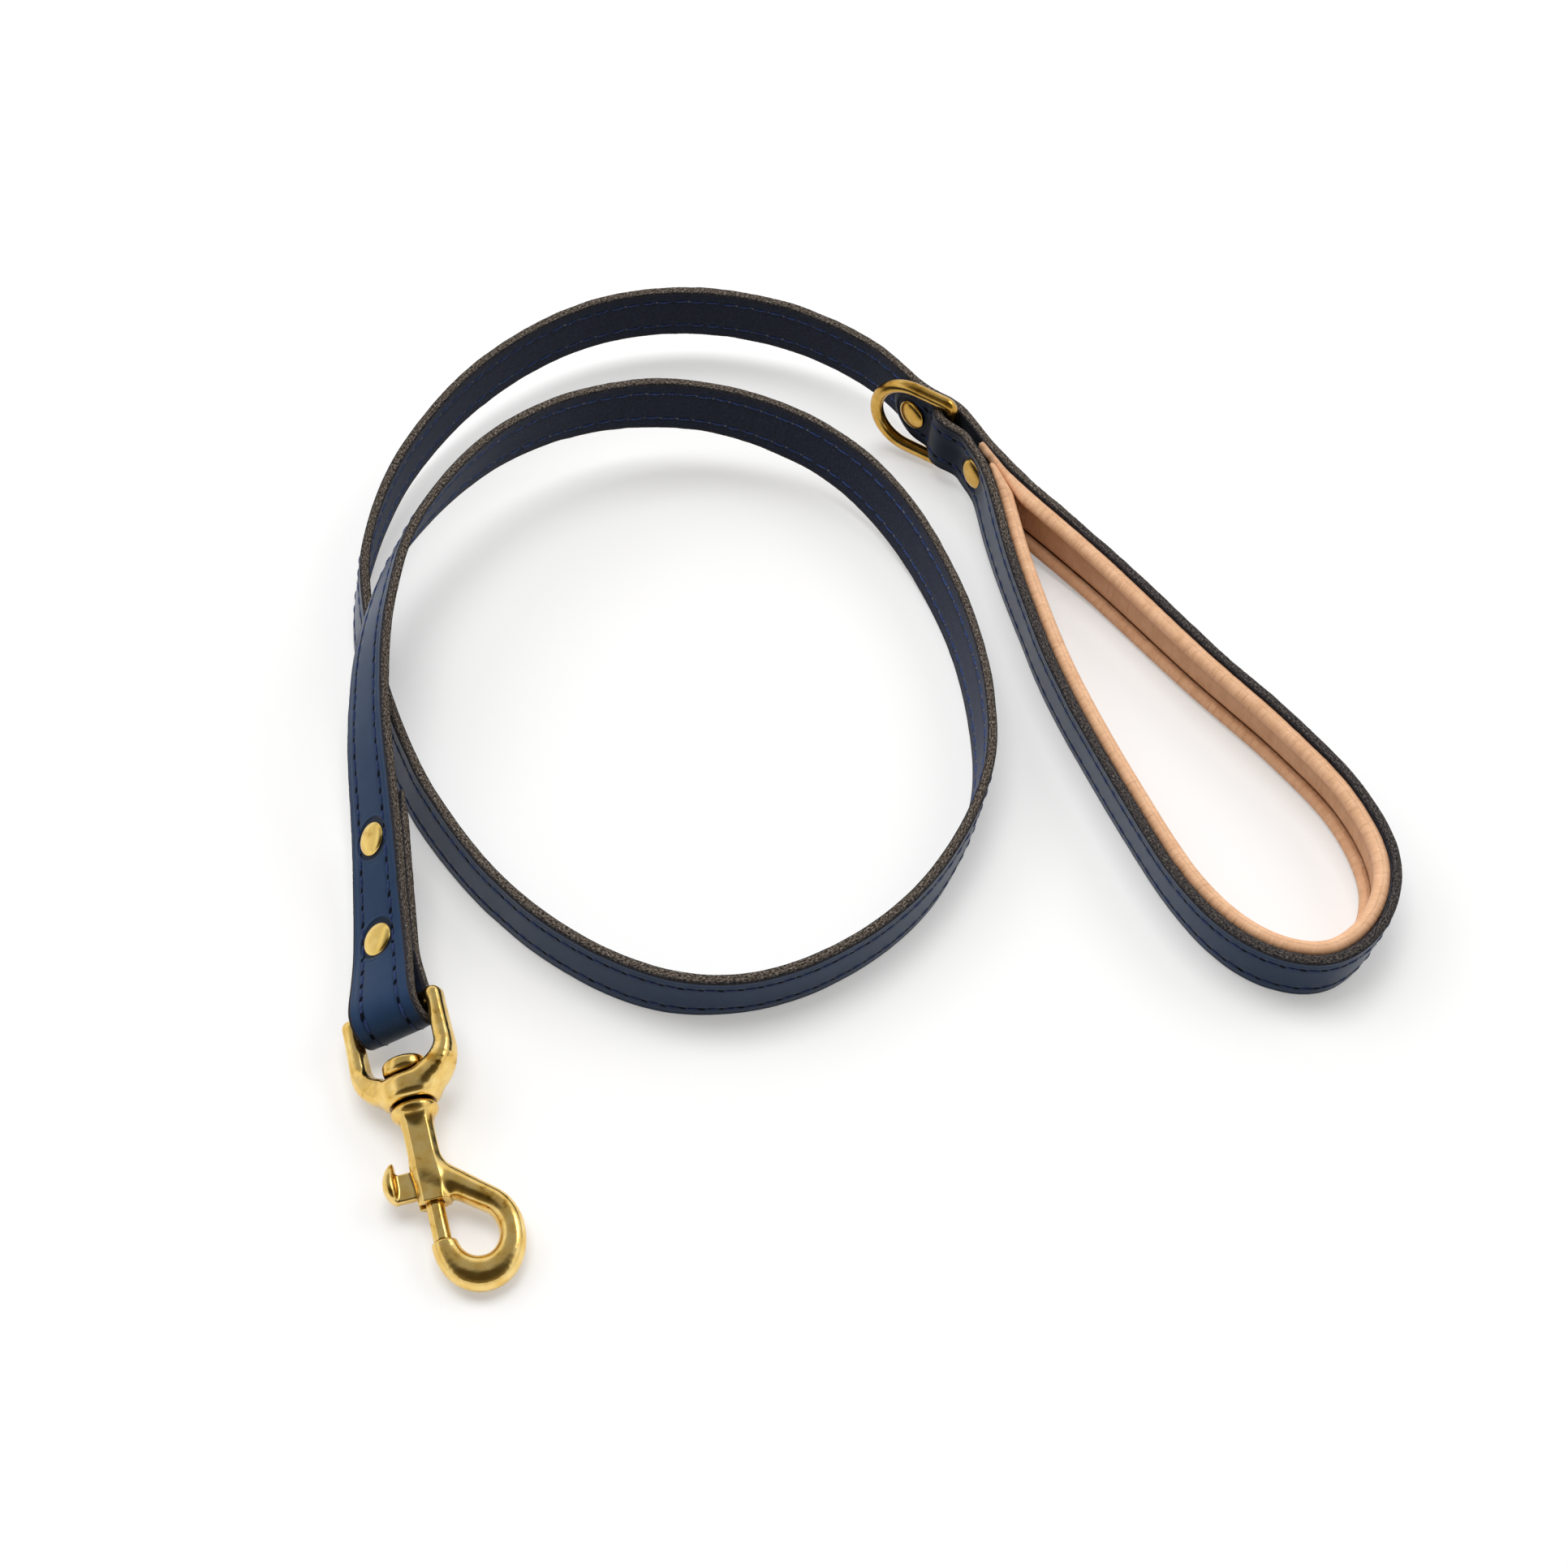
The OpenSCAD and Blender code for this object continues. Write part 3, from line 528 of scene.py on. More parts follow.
def strap():
    n = len(S)
    top = np.concatenate([GRAIN_W, [0], -GRAIN_W[::-1]])
    bottom = np.concatenate([-FLESH_W, [0], FLESH_W[::-1]])
    right = EDGE_PROFILE[::-1]
    left = EDGE_PROFILE * [-1, 1]
    zones = [
        ("grain", top, 0 * top),
        ("left", left[:, 0], left[:, 1]),
        ("flesh", bottom, 0 * bottom),
        ("right", right[:, 0], right[:, 1]),
    ]
    thick = mix(TAIL_THIN, 1, smooth(S / THIN_RUN))[:, None]
    narrow = np.sqrt(1 - END_CUT * np.clip(1 - (LENGTH - S) / END_R, 0, 1) ** 2)[:, None]
    raised = END_UP * smooth((S - RIVET_S["h1"] + UP_BEFORE) / UP_RUN)[:, None]
    at_fold = between(S, RIVET_S["hook2_back"] - FOLD_CALM, CALM_RUN, RIVET_S["hook2"] + FOLD_CALM, CALM_RUN)
    at_tail = smooth((S - RIVET_S["h2"] - TAIL_CALM) / CALM_RUN)
    calm = ((1 - CALM * at_fold) * (1 - CALM * at_tail))[:, None]
    sway = {}
    for side in (1, -1):
        slow = SLOW_SWAY * wander(n, SLOW_PERIOD)
        quick = QUICK_SWAY * wander(n, QUICK_PERIOD)
        sway[side] = calm * (slow + quick)[:, None]
    dye = HANDLE_DYE * between(S, RIVET_S["h2_back"] + DYE_RUN, DYE_RUN, RIVET_S["h2"] - DYE_RUN, DYE_RUN)
    points, dark, kinds, around = [], [], [], []
    for kind, w, h in zones:
        ws, hs, ss = (np.repeat(v[None], n, 0) for v in (w, h, 0 * w))
        ss += S[:, None]
        if kind == "grain":
            hs = grain_height(ss, ws)
            # Painted shade: the tail's grain is darkened inside the D-ring and the splice, where the ring
            # and the layers shade it
            darkening = TAIL_DARK * smooth((ss - RIVET_S["h2"] + 14) / 12)
            # Painted shade along the grooves of the stitch rows
            d = np.maximum(darkening, ROW_DARK * bump(np.abs(ws) - ROW, 0.55))
        elif kind == "flesh":
            hs = flesh_height(ws)
            # Painted shade: along the grooves of the back rows, and on the flesh shut away between the
            # splice's layers
            d = np.maximum(BACK_ROW_DARK * bump(np.abs(ws) - ROW, 0.5), SPLICE_DARK * hollow(ss))
        else:
            ws = ws + np.sign(w) * ROUGHNESS * calm * rng.normal(size=ws.shape) * bump(h, ROUGH_H)
            hs = hs + np.interp(ss, S, RIPPLE) * smooth((h - 0.2) / 0.8)
            # Dye at the grain side's bevel and on the hand loop's edges; painted shade at the flesh side's
            # bevel
            d = np.maximum(EDGE_DARK if kind == "left" else EDGE_DARK[::-1], dye[:, None])
        ws = (ws + ws * np.where(ws > 0, sway[1], sway[-1]) / HALF_W) * narrow + raised
        points.append(place(ss, ws, hs * thick))
        dark.append(d)
        kinds += [kind] * len(w)
        around.append(h if kind in ("left", "right") else w)
    points = np.concatenate(points, 1)
    points[..., 2] = np.maximum(points[..., 2], 0.0)
    cols = len(kinds)
    after = kinds[1:] + kinds[:1]
    zone = [0 if a == b == "grain" else 1 if a == b == "flesh" else 2 for a, b in zip(kinds, after)]
    values = strip_values(np.concatenate(dark, 1), S, np.concatenate(around))
    obj = mesh("strap", points, solid_faces(n, cols), [GRAIN, FLESH, EDGE], "lead", "navy_leather",
               zones=np.concatenate([np.tile(zone, n - 1), [2, 2]]), attributes=values)
    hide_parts("lead_strap", "handle_strap")


strap()


# Pressed rings of leather round the rivet caps: radius, height over the plain grain, darkness
SEAT_PROFILE = np.array([
    [4.0, -0.16, 0.75], [4.8, -0.16, 0.75], [5.4, -0.16, 0.75], [5.75, -0.15, 0.75], [5.95, -0.10, 0.7],
    [6.1, -0.01, 0.45], [6.3, 0.05, 0.08], [6.6, 0.05, 0], [7.0, 0.0, 0], [7.4, -0.12, 0],
])
# SEAT_DARK is painted shade for the seats in the splice
SEAT_DARK, SEAT_INSET = 0.68, 0.4


def rivet_seats():
    r, h, d = SEAT_PROFILE.T
    a = circle(96)
    for k, at in enumerate(CAPPED, 1):
        s, w = at + r[:, None] * np.cos(a), r[:, None] * np.sin(a)
        out = plain_grain(s, w) + h[:, None]
        points = place(np.minimum(s, LENGTH - SEAT_INSET), w, out)
        # In the splice the whole seat is darkened as well: painted shade, as on the leather round it
        dark = d if k <= 2 else np.maximum(d, SEAT_DARK)
        mesh(f"rivet_seat_{k}", points, turned_over(grid_faces(len(r), len(a))), [GRAIN], "lead",
             "navy_leather", attributes={"dark": np.repeat(dark, len(a))})


rivet_seats()


# Stitches: on the grain short threads between needle holes, on the flesh longer ones with light knots
THREAD_POINTS, THREAD_SIDES = 15, 8
THREAD_DIVE, THREAD_TAPER = 0.36, 0.6
PLY_DEEP, PLY_TURNS = 0.13, 26
DAB_POINTS, DAB_SIDES = 5, 12


def stitch_rows(first, last):
    """Places of the needle holes from first to last."""
    return np.arange(math.ceil(first / PITCH), math.floor(last / PITCH)) * PITCH


def sewn(name, starts, mat, rings, sides, one):
    """A mesh of small pieces along both rows; one(s, row) gives a piece's points as rings."""
    points = [one(s, row) for row in (-ROW, ROW) for s in starts]
    quads = grid_faces(rings, sides)
    faces = [quads + k * rings * sides for k in range(len(points))]
    mesh(name, points, np.concatenate(faces), [mat], "lead", "navy_leather")


def stitches(name, starts, height, mat, side, radius, rise, gap, stray):
    """Threads that leave one hole and go into the next."""
    t = np.linspace(0, 1, THREAD_POINTS)
    turn = circle(THREAD_SIDES)
    arch = np.clip(np.sin(math.pi * t), 0, 1) ** 0.4

    def one(start, row):
        s = start + gap / 2 + (PITCH - gap) * t
        slant = stray * (2 * t - 1) + stray * 0.5 * rng.normal()
        slant += 0.05 * np.sin(9 * t + 6 * rng.random())
        middle = height(s, row) + side * (rise * arch - THREAD_DIVE * (1 - arch))
        ply = 1 + PLY_DEEP * np.cos(2 * turn[None] - PLY_TURNS * t[:, None] + 6 * rng.random())
        r = radius * mix(THREAD_TAPER, 1, arch) * (1 + 0.06 * rng.normal())
        r = r[:, None] * ply
        return place(s[:, None], row + slant[:, None] + r * np.cos(turn), middle[:, None] + r * np.sin(turn))

    sewn(name, starts, mat, len(t), len(turn), one)


def dabs(name, starts, height, mat, half, tall, slant=0.0):
    """Small oval dabs, one at each needle hole."""
    t = np.linspace(0, math.pi / 2, DAB_POINTS)
    turn = circle(DAB_SIDES)

    def one(start, row):
        size = 1 + 0.16 * rng.normal()
        tilt = slant + 0.15 * rng.normal()
        x = half[0] * size * np.sin(t)[:, None] * np.cos(turn)
        y = half[1] * size * np.sin(t)[:, None] * np.sin(turn)
        s = start + x * math.cos(tilt) - y * math.sin(tilt)
        w = row + 0.06 * rng.normal() + x * math.sin(tilt) + y * math.cos(tilt)
        return place(s, w, height(s, row) + tall * np.cos(t)[:, None])

    sewn(name, starts, mat, len(t), len(turn), one)


def on_grain(s, row):
    """The grain's height under a stitch, which bridges the edge of a rivet's seat."""
    near = np.min([np.hypot(s - at, row) for at in CAPPED], axis=0)
    return grain_height(s, np.full(np.shape(s), row)) + 0.22 * smooth((SEAT_R + 0.4 - near) / 1.2)


def on_flesh(s, row):
    return flesh_height(row) + 0 * s


def all_stitches():
    whole = stitch_rows(4, LENGTH - 5)
    stitches("stitches_grain", whole, on_grain, BLUE_THREAD,
             side=1, radius=0.34, rise=0.05, gap=1.2, stray=0.10)
    # Near-black dabs at the needle holes: painted shade inside the holes
    dabs("stitch_hole_shade", whole, on_grain, HOLE, half=(1.05, 0.58), tall=0.09, slant=0.3)
    bare = stitch_rows(mark_s(U_HOOK_TAIL - 0.3), mark_s(U_SPLICE1 - 0.1))
    stitches("stitches_flesh", bare, on_flesh, BACK_THREAD,
             side=-1, radius=0.28, rise=0.08, gap=0.5, stray=0.14)
    knotted = bare[rng.random(len(bare)) < 0.7]
    dabs("stitch_knots", knotted, on_flesh, KNOT_THREAD, half=(0.46, 0.32), tall=-0.24)


all_stitches()


# Handle lining: two rolled edges and a padded panel between two sewn grooves
LINING_S = np.arange(RIVET_S["h2_back"] - 3.6, RIVET_S["h2"] - 3.5, STEP)
THROAT_REACH, THROAT_PAST, WIDE_APART = 90, 12, 40.0
ROLL_SIDES, ROLL_BACKING, ROLL_END = 28, 0.15, 1.3
ROLL_RISE, RISE_RUN = 0.9, 14
PANEL_AT, PANEL_HALF, PANEL_LOW, PANEL_CROWN = 0.5, 5.9, 0.35, 1.75
PANEL_SIDE = np.array([1.2, 2.8, 4.2, 5.0, 5.5, 5.9, 6.2])
PANEL_W = np.concatenate([-PANEL_SIDE[::-1], [0], PANEL_SIDE]) + PANEL_AT


def tan_leather():
    m, tree, shader = material("tan_lining", roughness=0.5, specular=0.3)
    stops = [(0.3, (0.725, 0.42, 0.24)), (0.7, (0.835, 0.52, 0.32))]
    # The dark colour is painted shade: on the rolls' sides against the strap, and on the panel in its groove
    # and under the upper roll
    paint(tree, shader, noise(tree, 220, 4), stops, dark=(0.27, 0.10, 0.033))
    add_bump(tree, shader, surface_noise(tree, 0.55, 0.09, 4), strength=0.9, distance=0.0009)
    return m


TAN = tan_leather()


def throat_gap(across):
    """Gap between the handle's two sides along the lining."""
    s = LINING_S
    gap = np.full(len(s), WIDE_APART)
    sides = [
        (s < s[0] + THROAT_REACH, np.arange(s[-1] - THROAT_REACH, s[-1] + THROAT_PAST, STEP)),
        (s > s[-1] - THROAT_REACH, np.arange(s[0] - THROAT_PAST, s[0] + THROAT_REACH, STEP)),
    ]
    for near, other in sides:
        a, b = (place(v, across, -HALF_T) for v in (s[near], other))
        gap[near] = np.sqrt(((a[:, None] - b[None]) ** 2).sum(-1).min(1))
    return gap


def wrinkles(n):
    return 0.55 * wander(n, 1.6) + 0.45 * wander(n, 3.7)


def lining_roll(name, node_name, across, diameter):
    """A rolled edge, pressed flatter where the handle's two sides meet."""
    s = LINING_S
    n = len(s)
    turn = circle(ROLL_SIDES)
    back = s > s[n // 2]
    room = np.where(back, 0.56, 0.46) * throat_gap(across) - 0.1
    deep = np.clip(room, np.where(back, 2.0, 1.5), diameter)
    wide = mix(0.7, 1, smooth((deep - 1.7) / (diameter - 1.7))) * diameter
    end = np.minimum(s - s[0], s[-1] - s)
    ends = np.sqrt(np.clip(1 - np.clip(1 - end / ROLL_END, 0, 1) ** 2, 0.02, 1))
    fold = 1 + 0.016 * wrinkles(n)[:, None] * (0.6 + 0.4 * np.cos(turn - 1))
    fold += 0.012 * wander(n, 25)[:, None]
    rise = ROLL_RISE * smooth(1 - end / RISE_RUN) * (across > 0)
    w = across + rise[:, None] + (wide / 2 * ends)[:, None] * fold * np.cos(turn)
    middle = -HALF_T - ROLL_BACKING - deep / 2
    h = middle[:, None] + (deep / 2 * ends)[:, None] * fold * np.sin(turn)
    # Painted shade on the side of the roll that lies against the strap
    dark = 0.55 * smooth(np.sin(turn) * 0.8 + 0.1)
    values = strip_values(np.tile(dark, n), s, turn * diameter / 2)
    obj = mesh(name, place(s[:, None], w, h), solid_faces(n, len(turn)), [TAN], "lead", "tan_leather",
               attributes=values)
    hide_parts(node_name)


def lining_panel():
    s = LINING_S
    n = len(s)
    w = PANEL_W
    crown = PANEL_LOW + PANEL_CROWN * np.clip(1 - (np.abs(w - PANEL_AT) / PANEL_HALF) ** 3, 0, 1) ** 0.6
    deep = np.clip(0.45 * throat_gap(0.0) - 0.2, 0.3, 3) / 3
    rise = 1 + 0.025 * wrinkles(n)[:, None] * bump(w, 5)
    rise += 0.012 * wander(n, 18)[:, None]
    front = -HALF_T - 0.1 - crown[None] * deep[:, None] * rise
    back = np.full((n, 2), -HALF_T - 0.02)
    ws = np.concatenate([w, [w[-1], w[0]]])
    hs = np.concatenate([front, back], 1)
    # Painted shade in the lower groove, under the upper roll and over the back; the panel is also a little
    # darker all over
    panel_shade = 0.2 + 0.7 * bump(w - PANEL_AT + 5.7, 0.8) + 0.4 * smooth((w - 2.6) / 3)
    values = strip_values(np.tile(np.concatenate([panel_shade, [1, 1]]), n), s, ws)
    obj = mesh("lining_pad", place(s[:, None], ws, hs), turned_over(solid_faces(n, len(ws))), [TAN], "lead",
               "tan_leather", attributes=values)
    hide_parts("lining_panel", "lining_backing")


lining_roll("lining_edge_upper", "lining_roll_upper", across=7.4, diameter=4.4)
lining_roll("lining_edge_lower", "lining_roll_lower", across=-7.2, diameter=3.9)
lining_panel()


# Brass
def brass(name, stops, detail, roughness, pits, waves):
    m, tree, shader = material(name, metallic=1.0)
    # The dark colour goes into crevices through the value "dark": patina in the hollows, and painted shade
    paint(tree, shader, noise(tree, 260, detail), stops, dark=(0.13, 0.06, 0.012))
    gloss = node(tree, "MapRange", Value=noise(tree, 900, detail, stretch=(0.1, 1, 1)))
    gloss.inputs["To Min"].default_value, gloss.inputs["To Max"].default_value = roughness
    tree.links.new(gloss.outputs["Result"], shader.inputs["Roughness"])
    add_bump(tree, shader, noise(tree, 190, 2), strength=waves, distance=0.0008)
    add_bump(tree, shader, noise(tree, 1500, 4), strength=pits, distance=0.0001)
    return m


def sheet_brass(name, dark, mid, light):
    stops = [(0.22, dark), (0.42, mid), (0.75, light)]
    return brass(name, stops, detail=3, roughness=(0.18, 0.28), pits=0.06, waves=0.12)


CAST_STOPS = [(0.28, (0.46, 0.235, 0.032)), (0.38, (0.80, 0.52, 0.14)), (0.74, (0.93, 0.70, 0.28))]
CAST = brass("cast_brass", CAST_STOPS, detail=7, roughness=(0.09, 0.27), pits=0.12, waves=0.2)
AGED = sheet_brass("aged_brass", (0.36, 0.18, 0.026), (0.58, 0.33, 0.062), (0.72, 0.455, 0.125))
# A lighter copy of the sheet brass for the rivet caps at the hook end, which face the light: painted light
LIT_BRASS = sheet_brass("lit_rivet_brass", (0.50, 0.29, 0.055), (0.78, 0.535, 0.15), (0.87, 0.64, 0.21))


def turned(profile, origin, axis):
    """Points and faces of a profile of (radius, height) turned about an axis."""
    x = unit(np.cross(axis, [0.31, 0.52, 0.8]))
    y = np.cross(axis, x)
    a = circle(64)
    spoke = np.cos(a)[:, None] * x + np.sin(a)[:, None] * y
    p = np.asarray(profile, float)
    points = origin + p[:, 1, None, None] * axis + p[:, 0, None, None] * spoke
    return points, turned_over(solid_faces(len(p), len(a)))


# Rivets: profiles of (radius, height) of the domed cap and of the back plate with its dimple
RIVET_R, CENTRE_R, RIVET_SUNK = 4.7, 0.02, 1.05
CAP_EDGE, DOME_H = 0.45, 1.15
RIVET_BACK = [
    [CENTRE_R, 0], [RIVET_R - 0.3, 0], [RIVET_R, 0.22], [RIVET_R - 0.1, 0.5], [RIVET_R * 0.86, 0.95],
    [RIVET_R * 0.6, 1.1], [1.9, 1.12], [1.6, 1.3], [0.9, 1.3], [0.6, 1.05], [CENTRE_R, 1.0],
]


def rivet_cap():
    a = np.radians(np.linspace(0, 90, 12))
    dome = np.stack([RIVET_R * np.cos(a) ** 0.62, CAP_EDGE + DOME_H * np.sin(a) ** 1.25], 1)
    dome[-1, 0] = CENTRE_R
    return np.vstack([[[CENTRE_R, 0], [RIVET_R - 0.5, 0], [RIVET_R - 0.12, 0.12]], dome])


def rivets():
    cap = rivet_cap()
    for k, u in enumerate((U_HOOK2, U_HOOK1, U_SPLICE1, U_SPLICE2), 1):
        at_hook = k <= 2
        middle, _, face, _ = stations(MAIN, u)
        out = face[0] * (1 if at_hook else -1)
        front = RIVET_SUNK + (0 if at_hook else LAYER_STEP)
        rear = -RIVET_SUNK - (LAYER_STEP if at_hook else 0)
        dome = turned(cap, middle[0] + out * front, out)
        foot = turned(RIVET_BACK, middle[0] + out * rear, -out)
        # The caps at the hook end get the lighter copy: painted light
        dome = mesh(f"rivet_dome_{k}", *dome, [LIT_BRASS if at_hook else AGED], "lead", "aged_brass")
        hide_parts(f"rivet_cap_{k}")
        foot = mesh(f"rivet_foot_{k}", *foot, [AGED], "lead", "aged_brass")
        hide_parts(f"rivet_back_{k}")


rivets()


# The D-ring: a bar, two legs and a round bow, swung a little up from the strap
RING_HALF, RING_LEG, RING_BEND, RING_R = 11.75, 12.0, 2.25, 1.95
RING_SWING = math.radians(23)
RING_SIDES = 24


def wire(line, normal):
    """Points and faces of a round wire along a closed flat line; normal is its plane's."""
    along = unit(np.roll(line, -1, 0) - np.roll(line, 1, 0))
    inward = np.cross(normal, along)
    a = circle(RING_SIDES)[None, :, None]
    points = line[:, None] + RING_R * (np.cos(a) * inward[:, None] + np.sin(a) * normal)
    last = (len(line) - 1) * RING_SIDES
    faces = grid_faces(len(line), RING_SIDES).tolist()
    for k in range(RING_SIDES):
        after = (k + 1) % RING_SIDES
        faces.append([last + k, k, after, last + after])
    return points, faces


def ring_outline():
    """Points once round: the bar, a corner, a leg, the bow, and down the other side."""
    bar_x = np.linspace(-(RING_HALF - RING_BEND), RING_HALF - RING_BEND, 24)
    bar = np.stack([bar_x, 0 * bar_x], 1)
    a = np.radians(np.linspace(-90, 0, 10))[1:]
    corner = np.stack([RING_HALF - RING_BEND + RING_BEND * np.cos(a), RING_BEND + RING_BEND * np.sin(a)], 1)
    leg_y = np.linspace(RING_BEND, RING_LEG, 14)[1:]
    leg = np.stack([np.full(len(leg_y), RING_HALF), leg_y], 1)
    b = np.radians(np.linspace(0, 180, 72))[1:-1]
    bow = np.stack([RING_HALF * np.cos(b), RING_LEG + RING_HALF * np.sin(b)], 1)
    mirror = [-1, 1]
    return np.vstack([bar, corner, leg, bow, (leg * mirror)[::-1], (corner * mirror)[::-1]])


def d_ring():
    middle, wide, face, _ = (v[0] for v in stations(MAIN, U_BAR))
    y = -np.cross(face, wide) * math.cos(RING_SWING) - face * math.sin(RING_SWING)
    flat = ring_outline()
    line = middle - face * BAR_STEP / 2 + flat[:, :1] * wide + flat[:, 1:] * y
    ring = mesh("dee", *wire(line, np.cross(wide, y)), [AGED], "ring", "aged_brass")
    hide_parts("d_ring")


d_ring()


# Cast pieces: a shape is a signed distance, and its surface is drawn on a fine grid
def slopes(shape, points, tiny):
    """Differences of a shape's distance a tiny way either side of each point, along X, Y and Z."""
    return np.stack([shape(points + tiny * e) - shape(points - tiny * e) for e in np.eye(3)], 1)


def surface(shape, low, high, cell):
    """A shape's surface: a point in each cell that it crosses, moved onto it."""
    low = np.array(low, float)
    counts = np.ceil((np.array(high) - low) / cell).astype(int) + 1
    axes = [low[k] + cell * np.arange(counts[k]) for k in range(3)]
    grid = np.stack(np.meshgrid(*axes, indexing="ij"), -1)
    value = shape(grid.reshape(-1, 3)).reshape(counts)
    total, number, crossings = np.zeros((*(counts - 1), 3)), np.zeros(counts - 1), []
    steps = np.eye(3, dtype=int)
    for axis in range(3):
        a, b = [slice(None)] * 3, [slice(None)] * 3
        a[axis], b[axis] = slice(None, -1), slice(1, None)
        va, vb = value[tuple(a)], value[tuple(b)]
        at = np.argwhere((va < 0) != (vb < 0))
        v0, v1 = va[tuple(at.T)], vb[tuple(at.T)]
        where = at.astype(float)
        where[:, axis] += v0 / (v0 - v1)
        step_u, step_v = steps[(axis + 1) % 3], steps[(axis + 2) % 3]
        cells = [at - step_u - step_v, at - step_v, at, at - step_u]
        for c in cells:
            np.add.at(total, tuple(c.T), where)
            np.add.at(number, tuple(c.T), 1)
        crossings.append((cells, v0 < 0))
    used = number > 0
    index = np.full(used.shape, -1)
    index[used] = np.arange(used.sum())
    points = low + cell * total[used] / number[used][:, None]
    faces = []
    for cells, outward in crossings:
        quads = np.stack([index[tuple(c.T)] for c in cells], 1)
        faces.append(np.where(outward[:, None], quads, quads[:, ::-1]))
    tiny = 0.02
    for _ in range(3):
        g = slopes(shape, points, tiny) / (2 * tiny)
        move = shape(points) / np.maximum((g * g).sum(1), 0.2)
        points = points - np.clip(move, -cell / 2, cell / 2)[:, None] * g
    return points, np.concatenate(faces)


def join(a, b, k):
    """Two shapes as one, with a rounded corner of about size k."""
    h = np.clip(0.5 + 0.5 * (b - a) / k, 0, 1)
    return mix(b, a, h) - k * h * (1 - h)


def cut(a, b, k):
    """Shape a less shape b, with a rounded rim of about size k."""
    return -join(-a, b, k)


def rod(p, radius, z0, z1, edge):
    """A round bar along Z with rounded ends."""
    d = np.hypot(p[:, 0], p[:, 1]) - radius + edge
    e = np.maximum(z0 - p[:, 2], p[:, 2] - z1) + edge
    return np.minimum(np.maximum(d, e), 0) + np.hypot(np.maximum(d, 0), np.maximum(e, 0)) - edge


def block(p, middle, half, edge):
    """A box with rounded edges."""
    q = np.abs(p - middle) - np.array(half) + edge
    return np.linalg.norm(np.maximum(q, 0), axis=1) + np.minimum(q.max(1), 0) - edge


def octagon(p, half, edge, corner=1.0):
    """An endless eight-sided bar along Z; corner moves its slanted flats in or out."""
    x, y = np.abs(p[:, 0]), np.abs(p[:, 1])
    return join(np.maximum(x, y) - half, (x + y) / math.sqrt(2) - half * corner, -edge)


def slab(p, z0, z1):
    """All between two heights."""
    return np.maximum(z0 - p[:, 2], p[:, 2] - z1)


def flat_rod(p, line, wide, deep, power):
    """A bar along a line in the XZ plane: half sizes wide in the plane, deep across it."""
    q = p[:, [0, 2]]
    best, w, d = np.full(len(p), 1e9), np.zeros(len(p)), np.zeros(len(p))
    for i in range(len(line) - 1):
        a, b = line[i], line[i + 1]
        t = np.clip(((q - a) @ (b - a)) / ((b - a) @ (b - a)), 0, 1)
        r = np.linalg.norm(q - a - t[:, None] * (b - a), axis=1)
        near = r < best
        best = np.where(near, r, best)
        w = np.where(near, mix(wide[i], wide[i + 1], t), w)
        d = np.where(near, mix(deep[i], deep[i + 1], t), d)
    return (((best / w) ** power + (np.abs(p[:, 1]) / d) ** power) ** (1 / power) - 1) * np.minimum(w, d)


def in_swivel(points, roll):
    """From the swivel's own frame, with Z along its axis to the hook, to the part's."""
    x = SIDE * math.cos(roll) + LIFT * math.sin(roll)
    y = LIFT * math.cos(roll) - SIDE * math.sin(roll)
    return HOOK_AT + points[:, :1] * x + points[:, 1:2] * y + points[:, 2:] * AXIS


# Sizes of the castings in the swivel's frame, as in the CAD part
BASE_TOP, EYE_REACH, COLLAR_TOP, SHANK_TOP = 18.5, 25.5, 25.8, 29.2
SHANK_END, TIP_Z, BORE_TOP, BOLT_TOP = 53.2, 63.5, 32.7, 43.2
ARM_X, BAR_D, SHANK_W, SHANK_LONG = 12.05, 4.2, 7.8, 24
BOW_R, HOOK_W, HOOK_T = 8.6, 6.2, 7.2

# Sizes of the worn, rounded forms, and of the fits between them
EYE_ARM, EYE_RISE, EYE_NECK_R, EYE_FACE = ARM_X + 0.15, ARM_X * 0.8, 7.5, EYE_REACH + 0.6
STUD_R, STUD_END, STUD_BORE_R = 2.5, 31.2, 2.56
HEAD_R, HEAD_LOW, HEAD_TOP, HEAD_DOME = 5.8, BASE_TOP - 5.7, BASE_TOP - 0.3, 0.05
HEAD_SEAT_R, HEAD_SEAT = 6.05, BASE_TOP - 0.12
BOW_ACROSS, BOW_ALONG, BOW_START, BOW_FAT = 8.35, 9.95, -50, 95
COLLAR_R, CONE_R, CONE_END, CONE_SLOPE = 5.9, 5.2, 34, 0.45
BOLT_HALF, BOLT_R, BOLT_BORE_R, SLOT_HALF = 2.26, 2.34, 2.4, 1.4
THUMB_X, THUMB_Z, THUMB_HALF, THUMB_THICK, THUMB_POWER = 9.8, 46.3, 3.5, 1.85, 2.2
THUMB_LOW, THUMB_HIGH, LOW_BEND, HIGH_BEND = 6.0, 4.5, 1.5, 0.5


